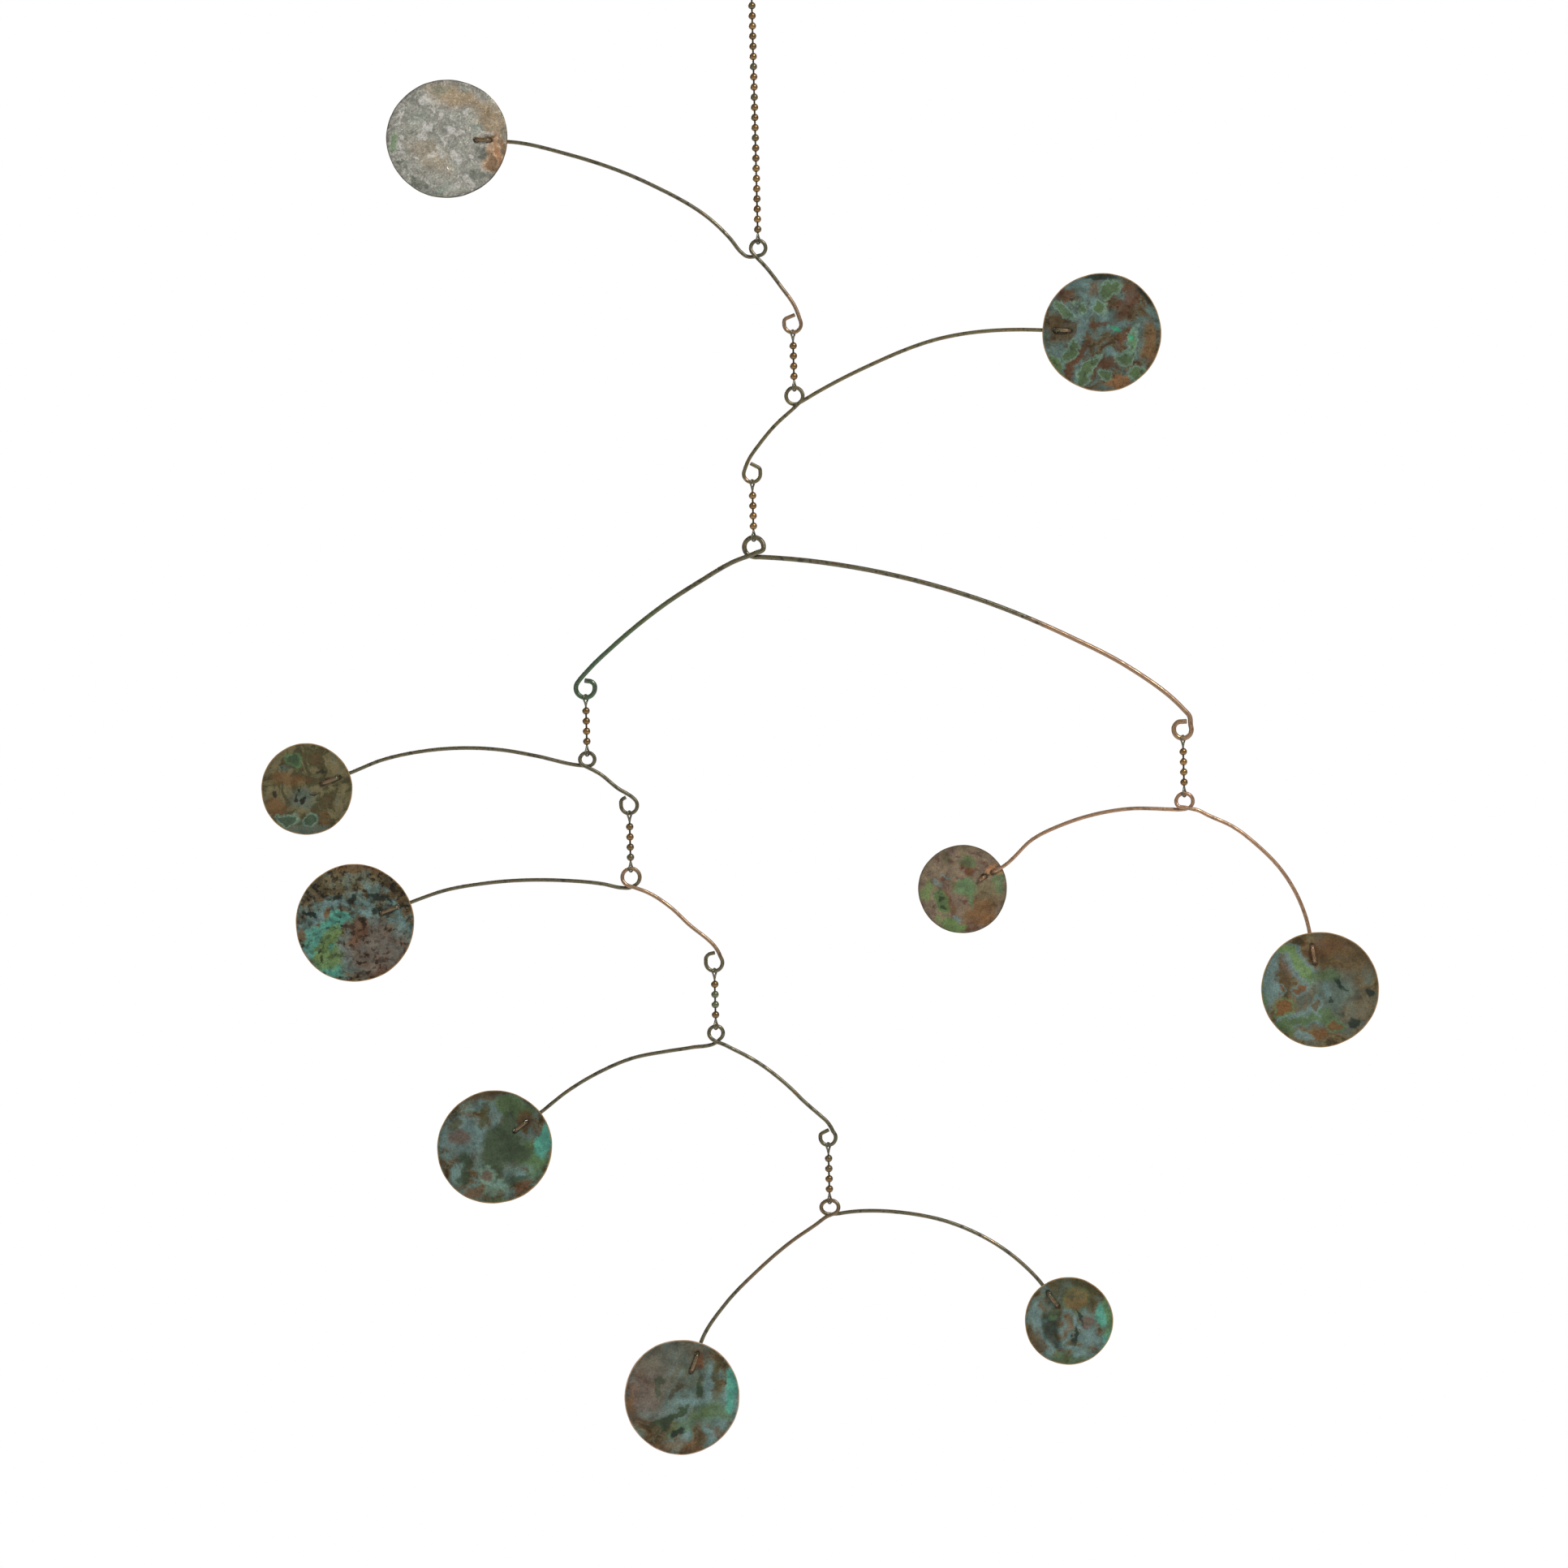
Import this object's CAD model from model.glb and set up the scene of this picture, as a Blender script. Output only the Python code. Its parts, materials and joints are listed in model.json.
"""Hanging mobile: nine patinated sheet copper discs on eight bent wire arms and ball chains.

Metres, +Z up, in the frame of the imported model. The origin is the middle of the ring that the
mobile hangs from. The arms hang in the XZ plane with the discs' fronts towards -Y. Each arm, disc,
chain and tie is made here as a fine mesh that stands for the plain solid of the same name.
"""

from __future__ import annotations

import json
import logging
import math
from dataclasses import dataclass, field
from enum import Enum

import bmesh
import bpy
from mathutils import Matrix, Vector
from mathutils.geometry import delaunay_2d_cdt

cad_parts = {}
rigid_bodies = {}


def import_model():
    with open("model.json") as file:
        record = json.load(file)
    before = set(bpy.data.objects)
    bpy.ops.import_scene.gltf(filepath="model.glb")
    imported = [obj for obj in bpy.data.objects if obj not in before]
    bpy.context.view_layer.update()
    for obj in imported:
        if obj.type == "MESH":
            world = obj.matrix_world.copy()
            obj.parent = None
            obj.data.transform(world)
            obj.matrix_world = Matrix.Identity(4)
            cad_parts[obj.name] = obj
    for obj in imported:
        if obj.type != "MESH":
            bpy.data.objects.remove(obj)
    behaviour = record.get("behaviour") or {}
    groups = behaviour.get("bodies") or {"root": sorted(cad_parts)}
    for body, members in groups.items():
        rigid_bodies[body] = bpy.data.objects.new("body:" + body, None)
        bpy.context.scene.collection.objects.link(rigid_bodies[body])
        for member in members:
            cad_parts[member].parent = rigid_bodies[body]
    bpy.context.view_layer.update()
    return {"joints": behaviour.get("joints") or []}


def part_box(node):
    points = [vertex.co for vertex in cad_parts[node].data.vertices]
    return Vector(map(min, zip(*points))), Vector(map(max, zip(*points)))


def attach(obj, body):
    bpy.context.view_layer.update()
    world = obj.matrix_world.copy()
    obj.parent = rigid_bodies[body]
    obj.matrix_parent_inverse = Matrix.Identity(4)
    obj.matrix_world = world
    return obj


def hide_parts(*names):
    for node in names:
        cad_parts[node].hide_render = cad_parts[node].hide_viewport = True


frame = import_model()

LOG = logging.getLogger("hanging_mobile")

MM = 0.001
ARM_WIRE = 1.63 * MM
MAIN_ARM_WIRE = 2.05 * MM
SHEET = 0.8 * MM
LARGE_BLANK = 50.0 * MM
SMALL_BLANK = 38.0 * MM
WELD = 0.002 * MM  # points closer than this are one
MOST_NOISE = (0.3, 0.7)  # where most of a noise's values lie
SOLID_GAP = 0.3 * MM  # between pieces that touch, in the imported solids
TOUCH = 0.05 * MM  # between pieces that touch, as they are dressed here
ROOM_VEIL = 0.012  # light that a dark surface throws back from the pale room
DARKEST = 0.003  # linear light of the darkest crust
NOT_WORN = (-1.0, -1.0)  # for a wire whose ends aren't stitched through a disc

Rgba = tuple[float, float, float, float]
WHITE: Rgba = (1.0, 1.0, 1.0, 1.0)
Socket = bpy.types.NodeSocket


# Tones


def linear(channel: float) -> float:
    """Turn one sRGB channel, from 0 to 1, into a linear one."""
    return channel / 12.92 if channel <= 0.04045 else ((channel + 0.055) / 1.055) ** 2.4


class Tone(Enum):
    """A colour of copper or of what grows on it, with how bare the metal is there."""

    BRIGHT_COPPER = ("cb946a", 0.9)
    COPPER = ("8f6c4c", 0.7)
    SAND = ("c0a98a", 0.7)
    SILVER = ("cdcbc0", 0.6)
    PEWTER = ("b1b1a6", 0.55)
    LEAD = ("6c6f67", 0.5)
    BRONZE = ("7b6042", 0.55)
    RUST = ("6f5034", 0.2)
    RED_BROWN = ("62432f", 0.15)
    BROWN = ("594a34", 0.2)
    UMBER = ("3d3322", 0.1)
    MAUVE = ("6b5b50", 0.15)
    TAUPE = ("5e5a4c", 0.1)
    OLIVE = ("4c4b33", 0.1)
    MOSS = ("506341", 0.0)
    LEAF = ("62794a", 0.0)
    GREEN = ("587551", 0.0)
    DEEP_GREEN = ("394635", 0.0)
    GREY_TEAL = ("56655c", 0.0)
    BLUE_GREY = ("647b78", 0.0)
    PALE_RIM = ("728f7d", 0.0)
    TURQUOISE = ("518f7e", 0.0)
    EMERALD = ("36936e", 0.0)
    NIGHT = ("242e28", 0.0)
    PIT = ("28251a", 0.0)
    ROSE_BEIGE = ("b3977c", 0.4)
    GOLD = ("9b7c54", 0.5)
    GLINT = ("efece2", 0.85)
    OLIVE_GREY = ("635e4a", 0.3)
    WARM_BROWN = ("7a624b", 0.4)
    ROSE = ("9a7a60", 0.55)
    PALE_ROSE = ("b5906f", 0.6)
    SEA_GREEN = ("405f4a", 0.1)
    SOOT = ("3e382b", 0.2)
    DRAB = ("6c6449", 0.15)
    SAGE = ("656b54", 0.2)
    ROSE_BROWN = ("7a6b58", 0.25)
    STAR_GREEN = ("424e3c", 0.0)

    @property
    def rgba(self) -> Rgba:
        """The colour in linear light, less what the pale room adds to it.

        Returns:
            Red, green, blue and alpha.
        """
        code = self.value[0]
        seen = (linear(int(code[i : i + 2], 16) / 255) for i in (0, 2, 4))
        red, green, blue = (max(channel - ROOM_VEIL, DARKEST) for channel in seen)
        return (red, green, blue, 1.0)

    @property
    def bare(self) -> float:
        """How metallic the surface is, from 0 for a crust to 1 for clean copper."""
        return self.value[1]


# Node trees


@dataclass
class Graph:
    """Makes and joins the nodes of one tree."""

    tree: bpy.types.NodeTree

    def node(self, kind: str, inputs: dict | None = None, **settings: object) -> bpy.types.Node:
        """Add a node.

        Args:
            kind: The node's Blender type.
            inputs: Values or output sockets by the input's name or number.
            settings: The node's own properties.

        Returns:
            The new node.
        """
        made = self.tree.nodes.new(kind)
        for name, value in settings.items():
            setattr(made, name, value)
        for key, value in (inputs or {}).items():
            if isinstance(value, Socket):
                self.tree.links.new(value, made.inputs[key])
            else:
                made.inputs[key].default_value = value
        return made

    def math(self, operation: str, a: object, b: object = 0.0, clamp: bool = False) -> Socket:
        """Work out one number from two.

        Args:
            operation: The Math node's operation.
            a: The first number or socket.
            b: The second number or socket.
            clamp: True to keep the result between 0 and 1.

        Returns:
            The socket that holds the result.
        """
        made = self.node("ShaderNodeMath", {0: a, 1: b}, operation=operation, use_clamp=clamp)
        return made.outputs[0]

    def vector(self, operation: str, a: object, b: object = (0.0, 0.0, 0.0)) -> Socket:
        """Work out one vector from two.

        Args:
            operation: The Vector Math node's operation.
            a: The first vector or socket.
            b: The second vector or socket.

        Returns:
            The socket that holds the result.
        """
        return self.node("ShaderNodeVectorMath", {0: a, 1: b}, operation=operation).outputs[0]

    def blend(self, share: object, a: object, b: object) -> Socket:
        """Mix two numbers by a share."""
        made = self.node("ShaderNodeMix", {0: share, 2: a, 3: b}, data_type="FLOAT")
        return made.outputs[0]

    def tint(self, share: object, a: object, b: object, kind: str = "MIX") -> Socket:
        """Mix two colours by a share.

        Args:
            share: How much of the second colour shows.
            a: The first colour or socket.
            b: The second colour or socket.
            kind: The Mix node's blend type.

        Returns:
            The socket that holds the colour.
        """
        inputs = {0: share, 6: a, 7: b}
        made = self.node("ShaderNodeMix", inputs, data_type="RGBA", blend_type=kind)
        return made.outputs[2]

    def span(
        self, value: object, low: float, high: float, at_low: float = 0.0, at_high: float = 1.0
    ) -> Socket:
        """Map a value smoothly from one range to another, held at both ends.

        Args:
            value: The number or socket to map.
            low: The value that gives at_low.
            high: The value that gives at_high.
            at_low: The result at and before low.
            at_high: The result at and past high.

        Returns:
            The socket that holds the mapped value.
        """
        inputs = {0: value, 1: low, 2: high, 3: at_low, 4: at_high}
        made = self.node("ShaderNodeMapRange", inputs, interpolation_type="SMOOTHSTEP")
        return made.outputs[0]

    def noise(
        self, place: object, scale: float, detail: float = 3.0, **more: float
    ) -> bpy.types.NodeOutputs:
        """Add a noise texture.

        Args:
            place: The socket with the place.
            scale: How many blotches fit in one unit.
            detail: The number of finer layers.
            more: Other inputs by name, in small letters. A w makes the noise four-dimensional.

        Returns:
            The noise's outputs.
        """
        inputs = {"Vector": place, "Scale": scale, "Detail": detail}
        inputs.update({name.capitalize(): value for name, value in more.items()})
        kind = "4D" if "w" in more else "3D"
        return self.node("ShaderNodeTexNoise", inputs, noise_dimensions=kind).outputs

    def times(self, a: object, b: object) -> Socket:
        """Multiply two numbers."""
        return self.math("MULTIPLY", a, b)

    def off_middle(self, value: object, reach: object) -> Socket:
        """Centre a value from 0 to 1 on 0 and multiply it."""
        return self.times(self.math("SUBTRACT", value, 0.5), reach)

    def ramp(self, value: Socket, stops: tuple[tuple[float, Tone], ...]) -> Socket:
        """Run a value through a ramp of tones.

        Args:
            value: The socket that picks the place on the ramp.
            stops: Places from 0 to 1 with their tones, in rising order.

        Returns:
            The colour socket.
        """
        made = self.node("ShaderNodeValToRGB", {0: value})
        marks = made.color_ramp.elements
        while len(marks) < len(stops):
            marks.new(1.0)
        for mark, (place, tone) in zip(marks, stops):
            mark.position = place
            mark.color = tone.rgba
        return made.outputs[0]


@dataclass(frozen=True)
class Relief:
    """Marks too fine for the mesh."""

    strength: float
    depth: float


class Surface(Graph):
    """The material of one finish, with what all the finishes share."""

    def __init__(self, name: str) -> None:
        """Start a material.

        Args:
            name: The material's name.
        """
        self.material = bpy.data.materials.new(name)
        self.material.use_nodes = True
        super().__init__(self.material.node_tree)
        self.shader = self.tree.nodes["Principled BSDF"]

    def place(self) -> Socket:
        """Each point's place, in metres."""
        return self.node("ShaderNodeTexCoord").outputs["Object"]

    def read(self, name: str) -> Socket:
        """A number that the mesh holds for each point."""
        return self.node("ShaderNodeAttribute", attribute_name=name).outputs["Fac"]

    def shade(self, colour: Socket, low: Socket) -> Socket:
        """Multiply a colour by a number."""
        return self.tint(1.0, colour, low, "MULTIPLY")

    def finish(
        self, colour: Socket, metal: Socket, rough: Socket, height: Socket, relief: Relief
    ) -> bpy.types.Material:
        """Join what was worked out to the shader.

        Args:
            colour: The colour.
            metal: How metallic the surface is.
            rough: How rough it is.
            height: How far it stands out, from 0 to 1.
            relief: How much of that height shows.

        Returns:
            The material.
        """
        inputs = {"Strength": relief.strength, "Distance": relief.depth, "Height": height}
        bump = self.node("ShaderNodeBump", inputs).outputs[0]
        results = {"Base Color": colour, "Metallic": metal, "Roughness": rough, "Normal": bump}
        for name, value in results.items():
            self.tree.links.new(value, self.shader.inputs[name])
        return self.material


class ShapeTree(Graph):
    """A Geometry Nodes tree with named inputs for its sizes."""

    def __init__(self, name: str, sizes: dict[str, str]) -> None:
        """Start a tree.

        Args:
            name: The tree's name.
            sizes: Socket types by input name, apart from the geometry itself.
        """
        super().__init__(bpy.data.node_groups.new(name, "GeometryNodeTree"))
        face = self.tree.interface
        face.new_socket("Geometry", in_out="INPUT", socket_type="NodeSocketGeometry")
        for label, kind in sizes.items():
            face.new_socket(label, in_out="INPUT", socket_type=kind)
        face.new_socket("Geometry", in_out="OUTPUT", socket_type="NodeSocketGeometry")
        self.given = self.tree.nodes.new("NodeGroupInput").outputs

    def store(self, geometry: Socket, name: str, value: object, domain: str = "POINT") -> Socket:
        """Store a number on the geometry for the material to read.

        Args:
            geometry: The geometry to store it on.
            name: The attribute's name.
            value: The number or field to store.
            domain: Where it is stored.

        Returns:
            The geometry with the attribute.
        """
        inputs = {"Geometry": geometry, "Name": name, "Value": value}
        made = self.node("GeometryNodeStoreNamedAttribute", inputs, domain=domain)
        return made.outputs[0]

    def smooth(self, geometry: Socket, crease: float) -> Socket:
        """Shade the faces smooth and keep the sharp edges.

        Args:
            geometry: The geometry to shade.
            crease: The turn at an edge, in radians, past which it is sharp.

        Returns:
            The shaded geometry.
        """
        soft = {"Geometry": geometry, "Shade Smooth": True}
        faces = self.node("GeometryNodeSetShadeSmooth", soft, domain="FACE").outputs[0]
        turn = self.node("GeometryNodeInputMeshEdgeAngle").outputs["Unsigned Angle"]
        sharp = self.node("FunctionNodeCompare", {"A": turn, "B": crease}, operation="GREATER_THAN")
        hard = {"Geometry": faces, "Selection": sharp.outputs[0], "Shade Smooth": False}
        return self.node("GeometryNodeSetShadeSmooth", hard, domain="EDGE").outputs[0]

    def finish(self, geometry: Socket) -> bpy.types.NodeTree:
        """End the tree with real geometry in the given material.

        Args:
            geometry: The finished geometry.

        Returns:
            The tree.
        """
        real = self.node("GeometryNodeRealizeInstances", {"Geometry": geometry}).outputs[0]
        inputs = {"Geometry": real, "Material": self.given["Material"]}
        dressed = self.node("GeometryNodeSetMaterial", inputs).outputs[0]
        self.node("NodeGroupOutput", {"Geometry": dressed})
        return self.tree


def plain_object(name: str, data: bpy.types.ID) -> bpy.types.Object:
    """Link data to the scene as an object at the origin.

    Args:
        name: The object's name.
        data: Its mesh, curve, lamp or camera.

    Returns:
        The object.
    """
    made = bpy.data.objects.new(name, data)
    bpy.context.scene.collection.objects.link(made)
    return made


def shaped(
    carrier: bpy.types.Object, tree: bpy.types.NodeTree, values: dict[str, object], place: Matrix
) -> bpy.types.Object:
    """Run a tree on an object and keep the result as a plain mesh.

    Args:
        carrier: The object to run it on, which is used up.
        tree: The Geometry Nodes tree.
        values: The tree's inputs by name.
        place: Where the result goes.

    Returns:
        A new object of the same name, at the origin, with its place in its mesh.
    """
    modifier = carrier.modifiers.new("shape", "NODES")
    modifier.node_group = tree
    for item in tree.interface.items_tree:
        if item.item_type == "SOCKET" and item.in_out == "INPUT" and item.name in values:
            modifier[item.identifier] = values[item.name]
    depsgraph = bpy.context.evaluated_depsgraph_get()
    mesh = bpy.data.meshes.new_from_object(
        carrier.evaluated_get(depsgraph), preserve_all_data_layers=True, depsgraph=depsgraph
    )
    name = carrier.name
    bpy.data.objects.remove(carrier, do_unlink=True)
    mesh.name = name
    mesh.transform(place)
    return plain_object(name, mesh)


def handed_over(piece: bpy.types.Object, body: str, node: str) -> bpy.types.Object:
    """Put a finished piece on its body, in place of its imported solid.

    Args:
        piece: The finished piece.
        body: The body that it moves with.
        node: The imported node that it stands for.

    Returns:
        The same piece.
    """
    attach(piece, body)
    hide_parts(node)
    LOG.info("%s: %d faces, rides on %s", piece.name, len(piece.data.polygons), body)
    return piece


# Bent wires


def toward(degrees: float) -> Vector:
    """A unit vector in the XZ plane at this heading."""
    angle = math.radians(degrees)
    return Vector((math.cos(angle), 0.0, math.sin(angle)))


def smooth_run(points: list[Vector], start: Vector, end: Vector) -> list[Vector]:
    """Draw a cubic through points.

    Args:
        points: The points that the run goes through.
        start: The direction in which it leaves the first one.
        end: The direction in which it arrives at the last one.

    Returns:
        The run as many close points.
    """
    spans = [(b - a).length for a, b in zip(points, points[1:])]
    slopes = [start.normalized()]
    for i in range(1, len(points) - 1):
        before, after = spans[i - 1], spans[i]
        slope = (points[i] - points[i - 1]) / before * after
        slope += (points[i + 1] - points[i]) / after * before
        slopes.append(slope / (before + after))
    slopes.append(end.normalized())
    steps = 14
    run = [points[0].copy()]
    for i, span in enumerate(spans):
        for k in range(1, steps + 1):
            t = k / steps
            run.append(
                points[i] * (2 * t**3 - 3 * t**2 + 1)
                + slopes[i] * span * (t**3 - 2 * t**2 + t)
                + points[i + 1] * (3 * t**2 - 2 * t**3)
                + slopes[i + 1] * span * (t**3 - t**2)
            )
    return run


@dataclass(frozen=True)
class Hook:
    """An open hook: a round bottom, a tighter corner and a straight tail."""

    inner: float  # diameter inside the round bottom
    drop: float  # height of the lowest point over the eye, as a share of the reach
    shank: float  # heading of the wire as it comes into the hook, in degrees
    tail: float  # rise of the hook's end over level, in degrees
    corner: float  # inner radius of the corner before the tail
    rise: float  # height of the corner over the middle of the round bottom
    run: float  # length of the tail

    def route(self, wire: float, reach: float, side: int) -> tuple[list[Vector], Vector]:
        """Bend the hook.

        Args:
            wire: The wire's diameter.
            reach: How far across from the eye its lowest point is.
            side: 1 for the right end and -1 for the left one.

        Returns:
            The wire's middle line round the hook, and its heading into the hook.
        """
        radius, bend = (self.inner + wire) / 2, self.corner + wire / 2
        middle = Vector((side * reach, 0.0, reach * self.drop + radius))
        shank = self.shank if side > 0 else -180 - self.shank
        steps = 30
        route = []
        for first, last, size, about in (
            (shank + 90, -180, radius, Vector()),
            (-180, self.tail - 270, bend, Vector((bend - radius, 0.0, self.rise))),
        ):
            for k in range(steps + 1):
                out = about + toward(first + (last - first) * k / steps) * size
                route.append(middle + Vector((out.x * side, 0.0, out.z)))
        tail = toward(self.tail)
        route.append(route[-1] + Vector((tail.x * side, 0.0, tail.z)) * self.run)
        return route, Vector((toward(shank).x * side, 0.0, toward(shank).z))


@dataclass(frozen=True)
class Stitch:
    """Where an arm's wire goes in and out of a disc. The rise is a share of the arm's reach."""

    disc: str
    blank: float
    cut: float  # hand cut size as a share of the blank
    oval: float  # how much wider than high the disc is, as a share
    rise: float
    heading: float
    holes: tuple[float, float]
    lean: float = 0.0
    wire_in_front: bool = False
    crossing: float = 2.2 * MM
    tail: float = 1.8 * MM

    @property
    def radius(self) -> float:
        """The disc's mean radius."""
        return self.blank * self.cut / 2

    @property
    def level(self) -> int:
        """1 where the wire comes over the disc's near edge, -1 where it comes behind it."""
        return 1 if self.wire_in_front else -1

    def edge(self, reach: float, side: int) -> Vector:
        """The point where the wire's middle meets the disc's near edge."""
        return Vector((side * reach, 0.0, reach * self.rise))

    @property
    def front(self) -> Vector:
        """The direction out of the disc's front."""
        turn = Matrix.Rotation(math.radians(self.lean), 3, toward(self.heading))
        return turn @ Vector((0.0, -1.0, 0.0))

    def sheet_middle(self, wire: float, reach: float, side: int) -> Vector:
        """The point of the sheet's middle plane over the wire at the near edge.

        Args:
            wire: The wire's diameter.
            reach: How far across from the eye the near edge is.
            side: 1 for the right end and -1 for the left one.

        Returns:
            The point, measured from the eye.
        """
        lift = SHEET / 2 + SOLID_GAP + wire / 2
        return self.edge(reach, side) - self.front * lift * self.level

    def route(self, wire: float, reach: float, side: int) -> tuple[list[Vector], Vector]:
        """Run the wire through the disc's two holes.

        Args:
            wire: The wire's diameter.
            reach: How far across from the eye the near edge is.
            side: 1 for the right end and -1 for the left one.

        Returns:
            The wire's middle line from the near edge to its end, and its heading there.
        """
        inward = toward(self.heading)
        plane = self.sheet_middle(wire, reach, side)
        lift = SHEET / 2 + TOUCH + wire / 2
        level = self.level
        route = [plane + self.front * lift * level]
        steps = 12
        for hole in self.holes:
            for k in range(steps + 1):
                along = hole + self.crossing * (k / steps - 0.5)
                height = level * math.cos(math.pi * k / steps)
                route.append(plane + inward * along + self.front * lift * height)
            level = -level
        route.append(route[-1] + inward * self.tail)
        return route, inward


@dataclass(frozen=True)
class Zone:
    """A stretch of a wire that has its own tone. Places are shares of the wire's length."""

    tone: Tone
    start: float
    end: float
    share: float = 0.8


@dataclass(frozen=True)
class WireFinish:
    """Tarnished copper wire, streaked along its length."""

    tones: tuple[Tone, Tone, Tone]
    zones: tuple[Zone, ...] = ()
    bare: float = 0.7
    roughness: float = 0.32
    blotch: float = 2.6 * MM
    grain: float = 0.35 * MM
    stops: tuple[float, float, float, float] = (0.36, 0.47, 0.58, 0.68)  # of the tones in a blotch
    fade: float = 0.03  # half of the length over which a zone begins or ends, as a share
    drift: float = 0.12  # how far the blotches move a zone's ends, as a share
    speckle: tuple[float, float] = (0.78, 1.2)  # how dark and how bright the grain makes it
    relief: Relief = Relief(0.35, 0.06 * MM)

    def material(
        self, name: str, length: float, worn: tuple[float, float] = NOT_WORN
    ) -> bpy.types.Material:
        """Make the finish for one wire.

        Args:
            name: The material's name.
            length: The wire's whole length, which the zones are shares of.
            worn: How much of each end is worn to copper in a disc's holes.

        Returns:
            The material.
        """
        surface = Surface(name)
        place = surface.place()
        blotch = surface.noise(place, 1 / self.blotch, 4.0, roughness=0.6)["Fac"]
        grain = surface.noise(place, 1 / self.grain, 2.0)["Fac"]
        dark, base, streak = self.tones
        colour = surface.ramp(blotch, tuple(zip(self.stops, (dark, base, base, streak))))

        along = surface.math("DIVIDE", surface.read("along"), length)
        share = surface.math("ADD", along, surface.off_middle(blotch, self.drift))
        first, last = (reach / length for reach in worn)
        ends = (Zone(Tone.WARM_BROWN, -0.5, first), Zone(Tone.WARM_BROWN, 1 - last, 1.5))
        for zone in (*self.zones, *ends):
            into = surface.span(share, zone.start - self.fade, zone.start + self.fade)
            out = surface.span(share, zone.end - self.fade, zone.end + self.fade, 1.0, 0.0)
            inside = surface.times(surface.times(into, out), zone.share)
            colour = surface.tint(inside, colour, zone.tone.rgba)
        colour = surface.shade(colour, surface.span(grain, *MOST_NOISE, *self.speckle))

        height = surface.math("ADD", surface.times(grain, 0.4), blotch)
        rough = surface.span(blotch, 0.35, 0.65, self.roughness + 0.12, self.roughness - 0.1)
        metal = surface.span(blotch, 0.4, 0.66, self.bare * 0.4, self.bare)
        return surface.finish(colour, metal, rough, height, self.relief)


def bent_wire_tree() -> bpy.types.NodeTree:
    """Make the tree that lays a round wire along a line, with chamfered ends and tool marks.

    Returns:
        The tree, with inputs for the wire's radius, sides, chamfer and marks.
    """
    names = ("Radius", "Chamfer", "Mark Size", "Mark Depth", "Seed")
    sizes = {name: "NodeSocketFloat" for name in names}
    sizes.update({"Sides": "NodeSocketInt", "Material": "NodeSocketMaterial"})
    tree = ShapeTree("bent_wire", sizes)
    given = tree.given
    line = tree.node("GeometryNodeMeshToCurve", {"Mesh": given["Geometry"]}).outputs[0]
    gone = tree.node("GeometryNodeSplineParameter").outputs["Length"]
    whole = tree.node("GeometryNodeSplineLength").outputs["Length"]
    line = tree.store(line, "along", gone)
    nearest = tree.math("MINIMUM", gone, tree.math("SUBTRACT", whole, gone))
    inputs = {0: nearest, 1: 0.0, 2: given["Chamfer"], 3: 0.76, 4: 1.0}
    narrowing = tree.node("ShaderNodeMapRange", inputs).outputs[0]
    ring = {"Resolution": given["Sides"], "Radius": given["Radius"]}
    section = tree.node("GeometryNodeCurvePrimitiveCircle", ring).outputs["Curve"]
    tube = {"Curve": line, "Profile Curve": section, "Scale": narrowing, "Fill Caps": True}
    wire = tree.node("GeometryNodeCurveToMesh", tube).outputs[0]
    place = tree.node("GeometryNodeInputPosition").outputs[0]
    size = tree.math("DIVIDE", 1.0, given["Mark Size"])
    marks = tree.noise(place, size, 2.0, w=given["Seed"])[0]
    depth = tree.off_middle(marks, given["Mark Depth"])
    normal = tree.node("GeometryNodeInputNormal").outputs[0]
    shift = tree.node("ShaderNodeVectorMath", {0: normal, "Scale": depth}, operation="SCALE")
    wire = tree.node("GeometryNodeSetPosition", {"Geometry": wire, "Offset": shift.outputs[0]})
    return tree.finish(tree.smooth(wire.outputs[0], math.radians(35)))


@dataclass
class WireBender:
    """Bends wires: lays a round section along a middle line."""

    sides: int = 18
    chamfer: float = 0.16 * MM
    mark_size: float = 3.5 * MM
    mark_depth: float = 0.08 * MM
    tree: bpy.types.NodeTree = field(default_factory=bent_wire_tree)

    def bend(
        self, name: str, route: list[Vector], wire: float, finish: WireFinish, place: Matrix,
        worn: tuple[float, float] = NOT_WORN,
    ) -> bpy.types.Object:
        """Make one wire.

        Args:
            name: The piece's name.
            route: The wire's middle line.
            wire: The wire's diameter.
            finish: The wire's finish.
            place: Where the wire goes.
            worn: How much of each end is worn to copper in a disc's holes.

        Returns:
            The wire as a plain mesh.
        """
        start, end = route[0], route[-1]
        first = start + (route[1] - start).normalized() * self.chamfer
        last = end + (route[-2] - end).normalized() * self.chamfer
        points = [start, first, *route[1:-1], last, end]
        mesh = bpy.data.meshes.new(name)
        mesh.from_pydata(points, [(i, i + 1) for i in range(len(points) - 1)], [])
        length = sum((b - a).length for a, b in zip(points, points[1:]))
        values = {
            "Radius": wire / 2,
            "Sides": self.sides,
            "Chamfer": self.chamfer,
            "Mark Size": self.mark_size,
            "Mark Depth": self.mark_depth,
            "Seed": float(len(name)),
            "Material": finish.material(name + "_finish", length, worn),
        }
        return shaped(plain_object(name, mesh), self.tree, values, place)


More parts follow.
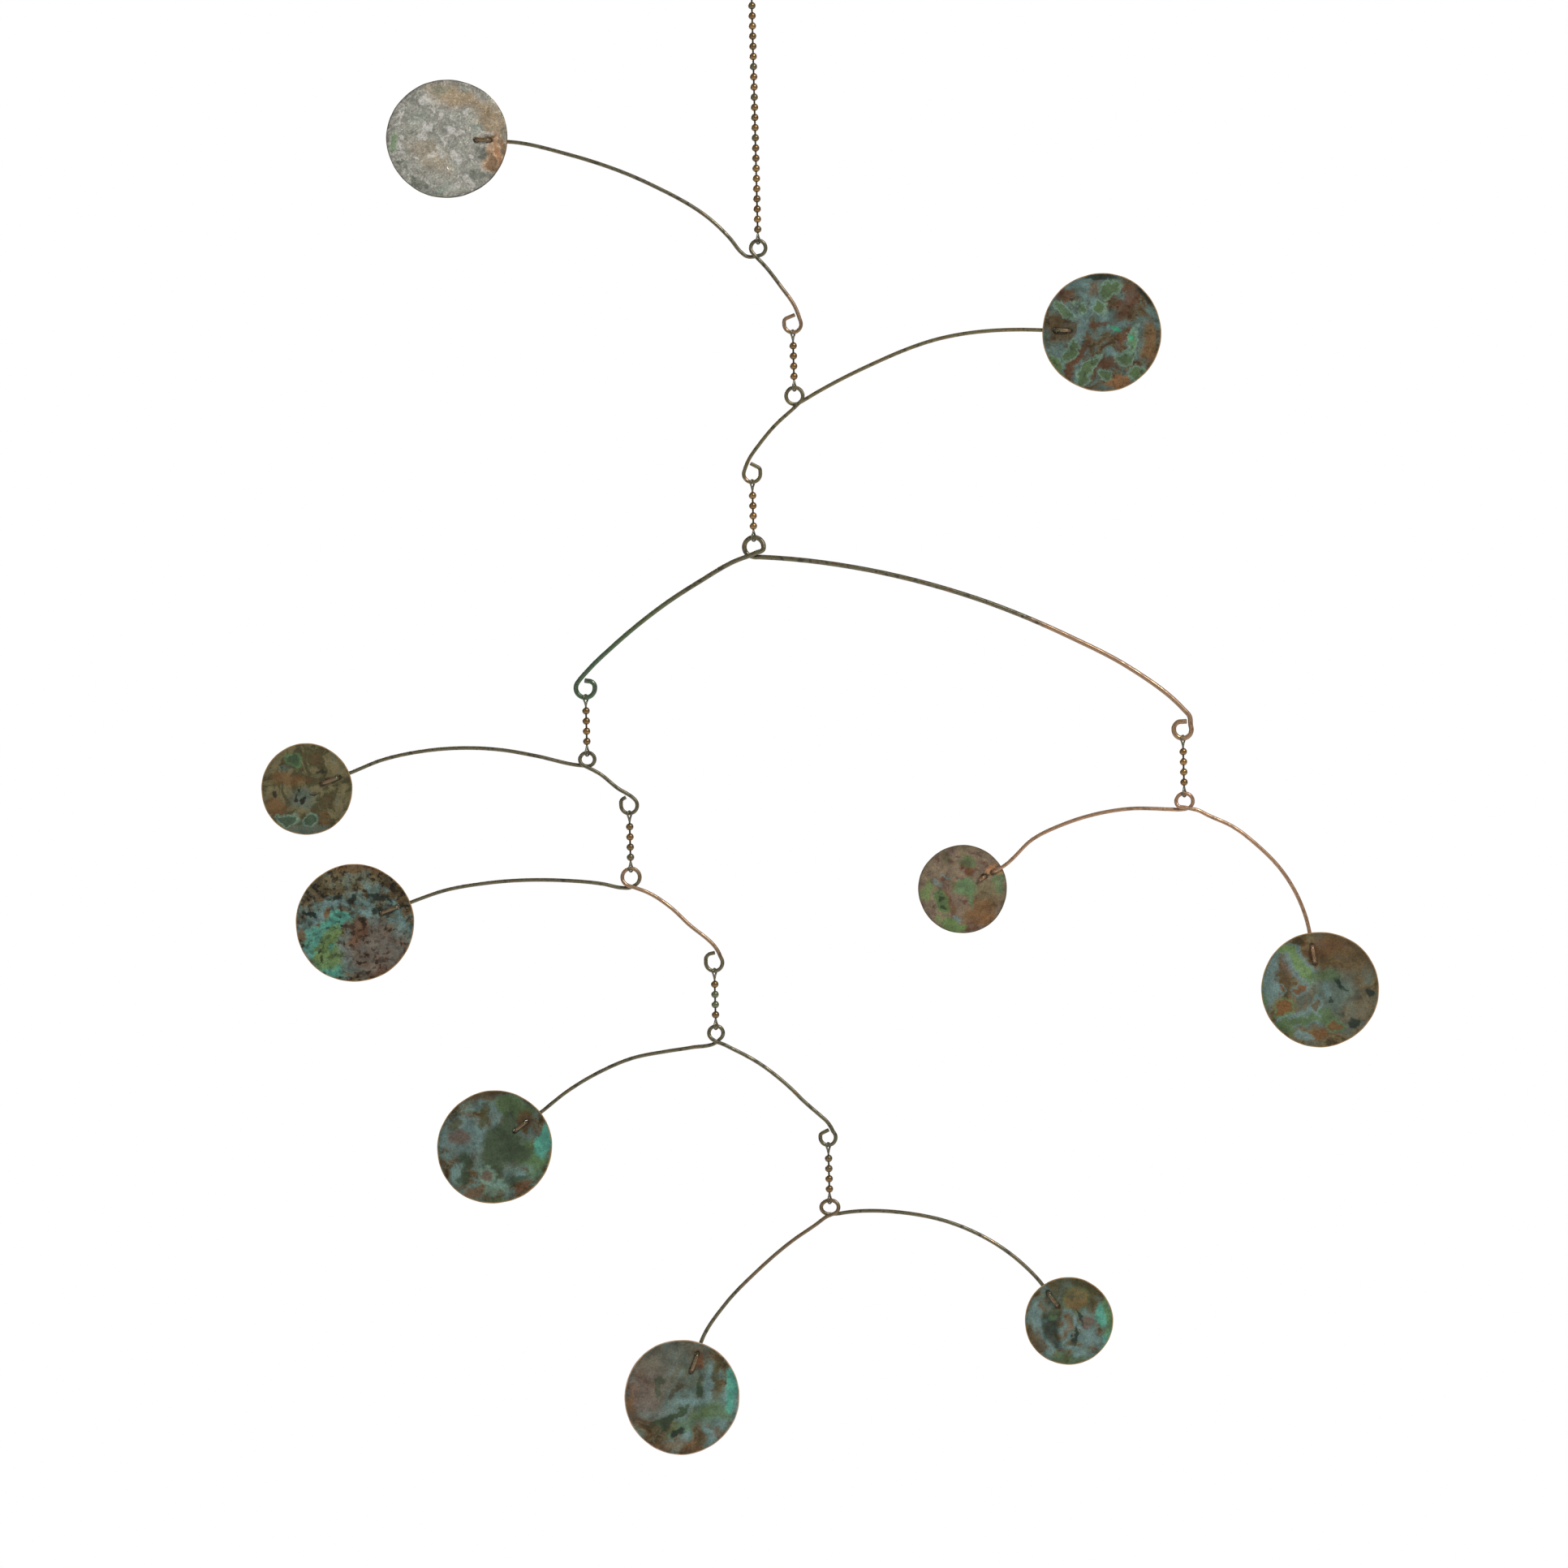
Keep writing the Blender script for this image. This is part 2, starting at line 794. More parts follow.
@dataclass(frozen=True)
class BentArm:
    """One bent wire with an eye to hang from. Runs are (across, up) as shares of each reach."""

    name: str
    wire: float
    eye_inner: float
    eye_height: float  # of the eye, as a share of its width
    enters: float  # heading of the left run into the eye, in degrees
    leaves: float  # heading of the right run out of the eye, in degrees
    over: int  # 1 where the left run passes in front at the eye, -1 where the right run does
    left_reach: float
    left_run: tuple[tuple[float, float], ...]
    left_end: Hook | Stitch
    right_reach: float
    right_run: tuple[tuple[float, float], ...]
    right_end: Hook | Stitch
    finish: WireFinish
    slot: str = "arm_wire"
    loop_straight: float = 5.0 * MM  # how far the two wires of the eye stay side by side
    loop_ease: float = 14.0 * MM  # over which each then returns to the plane of the arms

    @property
    def eye_radius(self) -> float:
        """The radius of the eye's middle line."""
        return (self.eye_inner + self.wire) / 2

    def sideways(self, run: list[Vector], level: float) -> list[Vector]:
        """Shift a run to one side at the eye.

        Args:
            run: The run from the eye outwards.
            level: How far along Y it starts beside the eye's middle.

        Returns:
            The run, easing back to the plane of the arms.
        """
        shifted, gone = [], 0.0
        for i, point in enumerate(run):
            if i:
                gone += (point - run[i - 1]).length
            share = min(max((gone - self.loop_straight) / self.loop_ease, 0.0), 1.0)
            aside = level * (0.5 + 0.5 * math.cos(math.pi * share))
            shifted.append(point + Vector((0.0, aside, 0.0)))
        return shifted

    def route(self) -> list[Vector]:
        """Bend the whole wire from its left end to its right end.

        Returns:
            The wire's middle line, measured from the eye's middle.
        """
        lift = (self.wire + TOUCH) / 2 * self.over
        first, last = self.enters - 90, self.leaves + 360 - 90
        flat = Matrix.Diagonal((1.0, 1.0, self.eye_height))
        steps = 60
        loop = []
        for k in range(steps + 1):
            share = k / steps
            point = flat @ toward(first + (last - first) * share) * self.eye_radius
            slant = (2 * share - 1) * abs(2 * share - 1)
            loop.append(point + Vector((0.0, lift * slant, 0.0)))
        halves = []
        for side, reach, shape, end in (
            (-1, self.left_reach, self.left_run, self.left_end),
            (1, self.right_reach, self.right_run, self.right_end),
        ):
            tip, arrive = end.route(self.wire, reach, side)
            root = flat @ toward(first if side < 0 else last) * self.eye_radius
            heading = flat @ toward(self.enters + 180 if side < 0 else self.leaves)
            places = [root] + [Vector((x * reach, 0.0, z * reach)) for x, z in shape] + [tip[0]]
            run = self.sideways(smooth_run(places, heading, arrive), lift * side)
            halves.append(run[1:] + tip[1:])
        left, right = halves
        return left[::-1] + loop + right

    def build(self, bender: WireBender, eye: Vector) -> bpy.types.Object:
        """Bend the arm and hand it over.

        Args:
            bender: What lays the wire along the route.
            eye: The middle of the arm's eye.

        Returns:
            The finished wire.
        """
        place = Matrix.Translation(eye)
        ends = (self.left_end, self.right_end)
        worn = tuple(end.holes[1] * 0.7 if isinstance(end, Stitch) else NOT_WORN[0] for end in ends)
        piece = bender.bend(self.name + "_wire", self.route(), self.wire, self.finish, place, worn)
        return handed_over(piece, self.name + "_body", self.name)


# Sheet discs


@dataclass(frozen=True)
class Patch:
    """A patch on a disc's front, in shares of its radius from its middle."""

    tone: Tone
    across: float
    up: float
    wide: float
    high: float
    turn: float = 0.0
    share: float = 1.0
    soft: float = 0.25
    rim: Tone | None = None


Ground = tuple[tuple[float, Tone], ...]


@dataclass(frozen=True)
class Patina:
    """What has grown on one disc: a mottled ground, patches on it, veins, pits and a worn rim."""

    ground: Ground
    patches: tuple[Patch, ...]
    seed: float
    mottle: float = 2.6  # blotches of the ground in one radius
    swirl: float = 0.5  # how far the patches' edges wander, in radii
    fine_swirl: float = 0.35  # share of that at the finer scale
    swirl_scales: tuple[float, float] = (2.2, 7.0)  # wanders in one radius
    cloud_scale: float = 4.3
    speck_scale: float = 13.0
    grain_scale: float = 42.0
    vein_width: float = 0.035  # in the noise that the veins follow
    shade: float = 0.66  # how dark the darkest clouds are
    glow: float = 1.16  # how bright the brightest are
    veins: float = 0.3
    vein_tone: Tone = Tone.PALE_RIM
    pits: float = 0.3
    pit_scale: float = 12.0  # pits in one radius
    pit_share: float = 0.4  # of the surface that is pitted
    sparkle: float = 0.0  # how much brighter the bright specks are
    pit_tone: Tone = Tone.PIT
    rim: Tone = Tone.GOLD
    gloss: float = 0.0
    dimple_depth: float = 0.05 * MM
    worn_rim: tuple[float, float] = (0.35 * MM, 0.85 * MM)
    drilled: float = 0.7 * MM  # how far the dark round a hole reaches
    relief: Relief = Relief(0.6, 0.15 * MM)

    def material(self, name: str, place: Matrix, radius: float) -> bpy.types.Material:
        """Make the patina for one disc.

        Args:
            name: The material's name.
            place: The disc's middle and its right, up and front directions.
            radius: The disc's mean radius.

        Returns:
            The material.
        """
        surface = Surface(name)
        flat, solid = self.coordinates(surface, place, radius)
        drifted = flat
        reaches = (self.swirl, self.swirl * self.fine_swirl)
        for scale, reach in zip(self.swirl_scales, reaches):
            swirl = surface.noise(solid, scale, 5.0, roughness=0.6)["Color"]
            swirl = surface.vector("SUBTRACT", swirl, (0.5, 0.5, 0.5))
            swirl = surface.vector("MULTIPLY", swirl, (reach, reach, 0.0))
            drifted = surface.vector("ADD", drifted, swirl)
        mottle = surface.noise(solid, self.mottle, 5.0, roughness=0.58, distortion=0.9)["Fac"]
        spread = surface.span(mottle, *MOST_NOISE)
        colour = surface.ramp(spread, self.ground)
        bare = surface.span(spread, 0.1, 0.45, self.ground[0][1].bare, self.ground[-1][1].bare)

        ridge = surface.noise(solid, self.mottle * 1.5, 3.0, distortion=1.6)["Fac"]
        ridge = surface.math("ABSOLUTE", surface.math("SUBTRACT", ridge, 0.5))
        vein = surface.span(ridge, 0.0, self.vein_width, self.veins, 0.0)
        colour = surface.tint(vein, colour, self.vein_tone.rgba)
        for patch in self.patches:
            colour, bare = self.grow(surface, patch, drifted, colour, bare)

        fine = surface.noise(solid, self.pit_scale, 3.0, roughness=0.6)["Fac"]
        where = surface.span(mottle, 0.38, 0.6, 1.0, 0.35)
        lowest = 0.65 - self.pit_share * 0.2
        pit = surface.times(surface.span(fine, lowest, lowest + 0.06), where)
        pit = surface.math("MULTIPLY", pit, self.pits, clamp=True)
        colour = surface.tint(pit, colour, self.pit_tone.rgba)

        cloud = surface.noise(solid, self.cloud_scale, 4.0, roughness=0.6)["Fac"]
        colour = surface.shade(colour, surface.span(cloud, 0.32, 0.66, self.shade, self.glow))
        speck = surface.noise(solid, self.speck_scale, 3.0, roughness=0.65, distortion=0.6)
        lit = surface.span(speck["Fac"], 0.52, 0.64, 1.0, 1.0 + self.sparkle)
        colour = surface.shade(colour, lit)
        grain = surface.noise(solid, self.grain_scale, 2.0)["Fac"]
        colour = surface.shade(colour, surface.span(grain, *MOST_NOISE, 0.8, 1.2))
        edge = surface.read("edge")
        colour = surface.shade(colour, surface.span(edge, 0.0, 4.0 * MM, 0.78, 1.0))
        worn = surface.math("ADD", edge, surface.times(fine, 0.5 * MM))
        worn = surface.span(worn, *self.worn_rim, 0.9, 0.0)
        colour = surface.tint(worn, colour, self.rim.rgba)
        drilled = surface.span(surface.read("hole"), 0.0, self.drilled, 0.75, 0.0)
        colour = surface.tint(drilled, colour, Tone.PIT.rgba)

        height = surface.math("ADD", surface.times(grain, 0.5), cloud)
        height = surface.math("SUBTRACT", height, surface.times(pit, 1.2))
        dull = surface.math("SUBTRACT", 0.74 - self.gloss, surface.times(bare, 0.3))
        rough = surface.math("ADD", dull, surface.times(grain, 0.12))
        surface.shader.inputs["Specular IOR Level"].default_value = 0.3
        return surface.finish(colour, bare, rough, height, self.relief)

    def coordinates(self, surface: Surface, place: Matrix, radius: float) -> tuple[Socket, Socket]:
        """Centre and turn the pattern on the disc.

        Args:
            surface: The material's surface.
            place: The disc's middle and its right, up and front directions.
            radius: The disc's mean radius.

        Returns:
            Flat places in radii for the patches, and places that differ on the back for noise.
        """
        turn = place.to_euler()
        inputs = {
            "Vector": surface.place(),
            "Location": place.translation,
            "Rotation": (turn.x, turn.y, turn.z),
            "Scale": (radius, radius, radius),
        }
        local = surface.node("ShaderNodeMapping", inputs, vector_type="TEXTURE").outputs[0]
        front = surface.read("front")
        facing = surface.span(front, 0.0, 1.0, -1.0, 1.0)
        both = surface.node("ShaderNodeCombineXYZ", {0: facing, 1: facing, 2: 0.0}).outputs[0]
        flat = surface.vector("MULTIPLY", local, both)
        layer = surface.math("ADD", surface.times(facing, 2.3), self.seed)
        depth = surface.node("ShaderNodeCombineXYZ", {2: layer}).outputs[0]
        return flat, surface.vector("ADD", flat, depth)

    def grow(
        self, surface: Surface, patch: Patch, drifted: Socket, colour: Socket, bare: Socket
    ) -> tuple[Socket, Socket]:
        """Lay one patch over what is there.

        Args:
            surface: The material's surface.
            patch: The patch.
            drifted: Flat places with the wander added.
            colour: The colour so far.
            bare: How bare the metal is so far.

        Returns:
            The new colour and bareness.
        """
        inputs = {
            "Vector": drifted,
            "Location": (patch.across, patch.up, 0.0),
            "Rotation": (0.0, 0.0, math.radians(patch.turn)),
            "Scale": (patch.wide, patch.high, 1.0),
        }
        inside = surface.node("ShaderNodeMapping", inputs, vector_type="TEXTURE").outputs[0]
        away = surface.node("ShaderNodeVectorMath", {0: inside}, operation="LENGTH")
        away = away.outputs["Value"]
        if patch.rim:
            fringe = 1.0 + 0.035 / min(patch.wide, patch.high)
            line = surface.span(away, fringe - patch.soft, fringe + patch.soft, 0.8, 0.0)
            colour = surface.tint(line, colour, patch.rim.rgba)
        share = surface.span(away, 1.0 - patch.soft, 1.0 + patch.soft, patch.share, 0.0)
        colour = surface.tint(share, colour, patch.tone.rgba)
        return colour, surface.blend(share, bare, patch.tone.bare)


def hammered_sheet_tree() -> bpy.types.NodeTree:
    """Make the tree that hammers a flat plate: long dents, dimples and a grain, with eased edges.

    Returns:
        The tree, with inputs for the sizes and depths of each.
    """
    names = ("Thickness", "Dent Size", "Dent Depth", "Dimple Size", "Dimple Depth")
    names += ("Grain Size", "Grain Depth", "Edge Ease", "Seed")
    sizes = {name: "NodeSocketFloat" for name in names}
    sizes["Material"] = "NodeSocketMaterial"
    tree = ShapeTree("hammered_sheet", sizes)
    given = tree.given
    place = tree.node("GeometryNodeInputPosition").outputs[0]
    parts = tree.node("ShaderNodeSeparateXYZ", {0: place}).outputs
    front = tree.math("GREATER_THAN", parts["Z"], 0.0)
    plate = tree.store(given["Geometry"], "front", front)
    front = tree.node("GeometryNodeInputNamedAttribute", {"Name": "front"}).outputs[0]
    facing = tree.math("SUBTRACT", tree.times(front, 2.0), 1.0)
    flat = tree.node("ShaderNodeCombineXYZ", {0: parts["X"], 1: parts["Y"]}).outputs[0]
    seed = given["Seed"]

    def scale(size: str) -> Socket:
        """The noise scale that gives marks of a named size."""
        return tree.math("DIVIDE", 1.0, given[size])

    dents = tree.noise(flat, scale("Dent Size"), 1.0, w=seed)[0]
    dents = tree.off_middle(dents, given["Dent Depth"])
    cells = {"Vector": flat, "Scale": scale("Dimple Size"), "W": seed, "Smoothness": 0.45}
    dimples = tree.node(
        "ShaderNodeTexVoronoi", cells, voronoi_dimensions="4D", feature="SMOOTH_F1"
    )
    dimple = tree.times(dimples.outputs["Distance"], given["Dimple Depth"])
    other = tree.math("ADD", seed, tree.times(front, 7.0))
    grain = tree.noise(flat, scale("Grain Size"), 2.0, w=other)[0]
    grain = tree.times(tree.off_middle(grain, given["Grain Depth"]), facing)
    calm = tree.node("GeometryNodeInputNamedAttribute", {"Name": "calm"}).outputs[0]
    relief = tree.times(tree.math("ADD", tree.math("ADD", dents, dimple), grain), calm)
    edge = tree.node("GeometryNodeInputNamedAttribute", {"Name": "edge"}).outputs[0]
    hole = tree.node("GeometryNodeInputNamedAttribute", {"Name": "hole"}).outputs[0]
    near = tree.math("MINIMUM", edge, hole)
    ease = {0: near, 1: 0.0, 2: given["Edge Ease"], 3: 0.35, 4: 0.0}
    eased = tree.node("ShaderNodeMapRange", ease, interpolation_type="SMOOTHSTEP").outputs[0]
    eased = tree.times(eased, tree.times(given["Thickness"], facing))
    shift = tree.math("SUBTRACT", relief, tree.times(eased, 0.5))
    offset = tree.node("ShaderNodeCombineXYZ", {2: shift}).outputs[0]
    plate = tree.node("GeometryNodeSetPosition", {"Geometry": plate, "Offset": offset}).outputs[0]
    return tree.finish(tree.smooth(plate, math.radians(40)))


@dataclass
class DiscMaker:
    """Cuts, drills and hammers sheet discs."""

    spacing: float = 0.62 * MM
    edge_rows: tuple[float, ...] = (0.0, 0.18 * MM, 0.45 * MM, 0.95 * MM)  # from the cut edge
    hole_rows: tuple[float, ...] = (0.0, 0.16 * MM, 0.45 * MM)  # from a hole's edge
    hole_sides: int = 28
    edge_clear: float = 1.3 * MM  # width of the band that the edge's rows fill
    hole_clear: float = 0.7 * MM  # width of the band that a hole's rows fill
    calm_reach: float = 3.0 * MM  # how far beside the wire the hammering fades
    ripples: tuple[float, ...] = (0.004, 0.003, 0.0012, 0.0008)  # of the hand cut, in radii
    dent_size: float = 13.0 * MM
    dent_depth: float = 0.9 * MM
    dimple_size: float = 2.6 * MM
    grain_size: float = 0.9 * MM
    grain_depth: float = 0.12 * MM
    edge_ease: float = 0.5 * MM
    hole_play: float = 0.03 * MM
    tree: bpy.types.NodeTree = field(default_factory=hammered_sheet_tree)

    def outline(self, stitch: Stitch, angle: float) -> float:
        """Find the hand cut disc's radius: slightly oval, with low corners.

        Args:
            stitch: The disc.
            angle: Where on the edge, in radians.

        Returns:
            The radius there.
        """
        three, five, eleven, many = self.ripples
        phase = math.radians(len(stitch.disc) * 37 + stitch.heading)
        wave = stitch.oval / 2 * math.cos(2 * angle)
        wave += three * math.cos(3 * angle + phase) + five * math.cos(5 * angle - 2 * phase)
        wave += eleven * math.sin(11 * angle + phase) + many * math.sin(23 * angle)
        return stitch.radius * (1 + wave)

    def flat_mesh(self, stitch: Stitch, wire: float) -> bpy.types.Mesh:
        """Lay even triangles over the disc, with its outline and both holes.

        Args:
            stitch: The disc and its holes.
            wire: The diameter of the wire in the holes.

        Returns:
            A flat mesh round the disc's middle, with X right and Y up, that also holds each
            point's distance from the cut edge and from the holes, and how calm the sheet is.
        """
        inward = Vector((toward(stitch.heading).x, toward(stitch.heading).z))
        across = Vector((-inward.y, inward.x))
        slope = math.atan2(math.pi * (SHEET / 2 + TOUCH + wire / 2), stitch.crossing)
        long = (wire / math.sin(slope) + SHEET / math.tan(slope)) / 2 + self.hole_play
        wide = wire / 2 + self.hole_play
        middles = [inward * (hole - stitch.radius) for hole in stitch.holes]

        def hole_distance(point: Vector) -> float:
            """Find about how far a point is from the nearest hole's edge.

            Args:
                point: The point.

            Returns:
                The distance, less than 0 inside a hole.
            """
            best = 1.0
            for middle in middles:
                away = point - middle
                share = math.hypot(away.dot(inward) / long, away.dot(across) / wide)
                best = min(best, (share - 1) * wide)
            return best

        points: list[Vector] = []
        edges: list[tuple[int, int]] = []

        def add_loop(places: list[Vector], fixed: bool) -> None:
            """Add a closed loop of points.

            Args:
                places: The points.
                fixed: True for a cut, whose edges are kept.
            """
            start, count = len(points), len(places)
            points.extend(places)
            if fixed:
                edges.extend((start + i, start + (i + 1) % count) for i in range(count))

        around = round(math.tau * stitch.radius / self.spacing / 1.3)
        for row, inset in enumerate(self.edge_rows):
            ring = []
            for i in range(around):
                angle = math.tau * (i + 0.5 * (row % 2)) / around
                reach = self.outline(stitch, angle) - inset
                ring.append(Vector((math.cos(angle), math.sin(angle))) * reach)
            add_loop(ring, row == 0)
        for middle in middles:
            for row, outset in enumerate(self.hole_rows):
                ring = []
                for i in range(self.hole_sides):
                    angle = math.tau * (i + 0.5 * (row % 2)) / self.hole_sides
                    ring.append(
                        middle
                        + inward * math.cos(angle) * (long + outset)
                        + across * math.sin(angle) * (wide + outset)
                    )
                add_loop(ring, row == 0)
        steps = math.ceil(stitch.radius * 1.05 / self.spacing)
        for row in range(-steps, steps + 1):
            for column in range(-steps, steps + 1):
                x = (column + 0.5 * (row % 2)) * self.spacing
                point = Vector((x, row * self.spacing * math.sqrt(3) / 2))
                inset = self.outline(stitch, math.atan2(point.y, point.x)) - point.length
                if inset > self.edge_clear and hole_distance(point) > self.hole_clear:
                    points.append(point)

        unit = 1 / MM
        verts, _, faces, *_ = delaunay_2d_cdt([p * unit for p in points], edges, [], 1, 1e-4)
        verts = [v / unit for v in verts]
        kept = []
        for face in faces:
            middle = sum((verts[i] for i in face), Vector((0.0, 0.0))) / len(face)
            if hole_distance(middle) > 0:
                kept.append(face)
        mesh = bpy.data.meshes.new(stitch.disc)
        mesh.from_pydata([(v.x, v.y, 0.0) for v in verts], [], kept)

        start = -inward * stitch.radius
        run = stitch.holes[1] + stitch.crossing / 2 + stitch.tail

        def calmness(point: Vector) -> float:
            """Find how free a point is to be hammered.

            Args:
                point: The point.

            Returns:
                0 beside the wire to 1 away from it.
            """
            along = min(max((point - start).dot(inward), 0.0), run)
            away = (point - start - inward * along).length - wire / 2
            return min(max(away / self.calm_reach, 0.0), 1.0)

        for name, measure in (
            ("edge", lambda p: max(self.outline(stitch, math.atan2(p.y, p.x)) - p.length, 0.0)),
            ("hole", lambda p: max(hole_distance(p), 0.0)),
            ("calm", calmness),
        ):
            layer = mesh.attributes.new(name, "FLOAT", "POINT")
            layer.data.foreach_set("value", [measure(v) for v in verts])
        return mesh

    def place(self, stitch: Stitch, wire: float, reach: float, side: int, eye: Vector) -> Matrix:
        """Find where a disc sits on its arm.

        Args:
            stitch: The disc and its holes.
            wire: The wire's diameter.
            reach: The arm's reach on that side.
            side: 1 for the right end and -1 for the left one.
            eye: The middle of the arm's eye.

        Returns:
            The disc's middle, with its right, up and front directions as X, Y and Z.
        """
        front = stitch.front
        right = (Vector((1.0, 0.0, 0.0)) - front * front.x).normalized()
        turn = Matrix((right, front.cross(right), front)).transposed().to_4x4()
        middle = stitch.sheet_middle(wire, reach, side) + toward(stitch.heading) * stitch.radius
        return Matrix.Translation(eye + middle) @ turn

    def build(
        self, stitch: Stitch, patina: Patina, wire: float, place: Matrix, body: str
    ) -> bpy.types.Object:
        """Make one disc and hand it over.

        Args:
            stitch: The disc and its holes.
            patina: What has grown on it.
            wire: The diameter of the wire in the holes.
            place: The disc's middle and directions.
            body: The body that it moves with.

        Returns:
            The finished disc.
        """
        plate = plain_object(stitch.disc + "_sheet", self.flat_mesh(stitch, wire))
        thick = plate.modifiers.new("sheet", "SOLIDIFY")
        thick.thickness = SHEET
        thick.offset = 0.0
        values = {
            "Thickness": SHEET,
            "Dent Size": self.dent_size,
            "Dent Depth": self.dent_depth,
            "Dimple Size": self.dimple_size,
            "Dimple Depth": patina.dimple_depth,
            "Grain Size": self.grain_size,
            "Grain Depth": self.grain_depth,
            "Edge Ease": self.edge_ease,
            "Seed": patina.seed,
            "Material": patina.material(stitch.disc + "_finish", place, stitch.radius),
        }
        piece = shaped(plate, self.tree, values, place)
        return handed_over(piece, body, stitch.disc)


# Ball chains and ties


@dataclass(frozen=True)
class BeadFinish:
    """Worn copper of beads, duller on some beads and dark between them."""

    blotch: float = 1.1 * MM
    stops: Ground = (
        (0.0, Tone.SAGE), (0.22, Tone.OLIVE_GREY), (0.6, Tone.BRONZE), (1.0, Tone.GOLD),
    )
    relief: Relief = Relief(0.3, 0.05 * MM)

    def material(self, name: str) -> bpy.types.Material:
        """Make the finish.

        Args:
            name: The material's name.

        Returns:
            The material, which reads each bead's own tone and how deep a point lies.
        """
        surface = Surface(name)
        tone, nook = surface.read("tone"), surface.read("nook")
        blotch = surface.noise(surface.place(), 1 / self.blotch, 3.0, roughness=0.6)["Fac"]
        mixed = surface.math("ADD", tone, surface.off_middle(blotch, 0.7))
        colour = surface.ramp(mixed, self.stops)
        colour = surface.tint(surface.span(nook, 0.15, 0.8, 0.0, 0.85), colour, Tone.UMBER.rgba)
        bare = surface.span(mixed, 0.1, 0.6, 0.45, 0.8)
        rough = surface.span(blotch, 0.35, 0.65, 0.38, 0.24)
        return surface.finish(colour, bare, rough, blotch, self.relief)


def ball_chain_tree() -> bpy.types.NodeTree:
    """Make the tree that hangs beads under each other and welds their links.

    Returns:
        The tree, with inputs for the two kinds of bead, their number and their pitch.
    """
    sizes = {
        "Bead": "NodeSocketObject",
        "End Bead": "NodeSocketObject",
        "Count": "NodeSocketInt",
        "Pitch": "NodeSocketFloat",
        "Sides": "NodeSocketInt",
        "Seed": "NodeSocketInt",
        "Dullest": "NodeSocketFloat",
        "Brightest": "NodeSocketFloat",
        "Material": "NodeSocketMaterial",
    }
    tree = ShapeTree("ball_chain", sizes)
    given = tree.given
    step = tree.times(given["Pitch"], -1.0)
    down = tree.node("ShaderNodeCombineXYZ", {2: step}).outputs[0]
    line = tree.node("GeometryNodeMeshLine", {"Count": given["Count"], "Offset": down}).outputs[0]
    index = tree.node("GeometryNodeInputIndex").outputs[0]
    last = tree.math("SUBTRACT", given["Count"], 1.0)
    at_first = tree.math("LESS_THAN", index, 0.5)
    at_last = tree.math("GREATER_THAN", index, tree.math("SUBTRACT", last, 0.5))
    at_end = tree.math("MAXIMUM", at_first, at_last)
    between = tree.math("SUBTRACT", 1.0, at_end)
    chance = tree.node("FunctionNodeRandomValue", {"Seed": given["Seed"]}, data_type="FLOAT")
    turn = tree.math("FLOOR", tree.times(chance.outputs[1], given["Sides"]))
    turn = tree.times(turn, tree.math("DIVIDE", math.tau, given["Sides"]))
    upright = tree.node("ShaderNodeCombineXYZ", {2: turn}).outputs[0]
    flipped = tree.node("ShaderNodeCombineXYZ", {0: math.pi}).outputs[0]
    groups = []
    for bead, chosen, turned in (
        ("Bead", between, upright),
        ("End Bead", at_first, None),
        ("End Bead", at_last, flipped),
    ):
        shape = tree.node("GeometryNodeObjectInfo", {"Object": given[bead]}).outputs["Geometry"]
        inputs = {"Points": line, "Selection": chosen, "Instance": shape}
        if turned:
            inputs["Rotation"] = turned
        groups.append(tree.node("GeometryNodeInstanceOnPoints", inputs).outputs[0])
    join = tree.node("GeometryNodeJoinGeometry")
    for group in groups:
        tree.tree.links.new(group, join.inputs[0])
    shades = {2: given["Dullest"], 3: given["Brightest"], "Seed": given["Seed"]}
    tone = tree.node("FunctionNodeRandomValue", shades, data_type="FLOAT")
    chain = tree.store(join.outputs[0], "tone", tone.outputs[1], "INSTANCE")
    chain = tree.node("GeometryNodeRealizeInstances", {"Geometry": chain}).outputs[0]
    weld = {"Geometry": chain, "Distance": 0.005 * MM}
    chain = tree.node("GeometryNodeMergeByDistance", weld).outputs[0]
    return tree.finish(tree.smooth(chain, math.radians(50)))


# How dull and how bright each chain's beads get, from 0 for greened to 1 for golden.
BEAD_TONES = {
    "top_arm": (0.25, 0.9),
    "upper_arm": (0.2, 0.75),
    "main_arm": (0.55, 0.85),
    "left_arm_1": (0.5, 0.85),
    "left_arm_2": (0.0, 0.65),
    "left_arm_3": (0.0, 0.75),
    "left_arm_4": (0.1, 0.55),
    "right_arm": (0.65, 1.0),
}


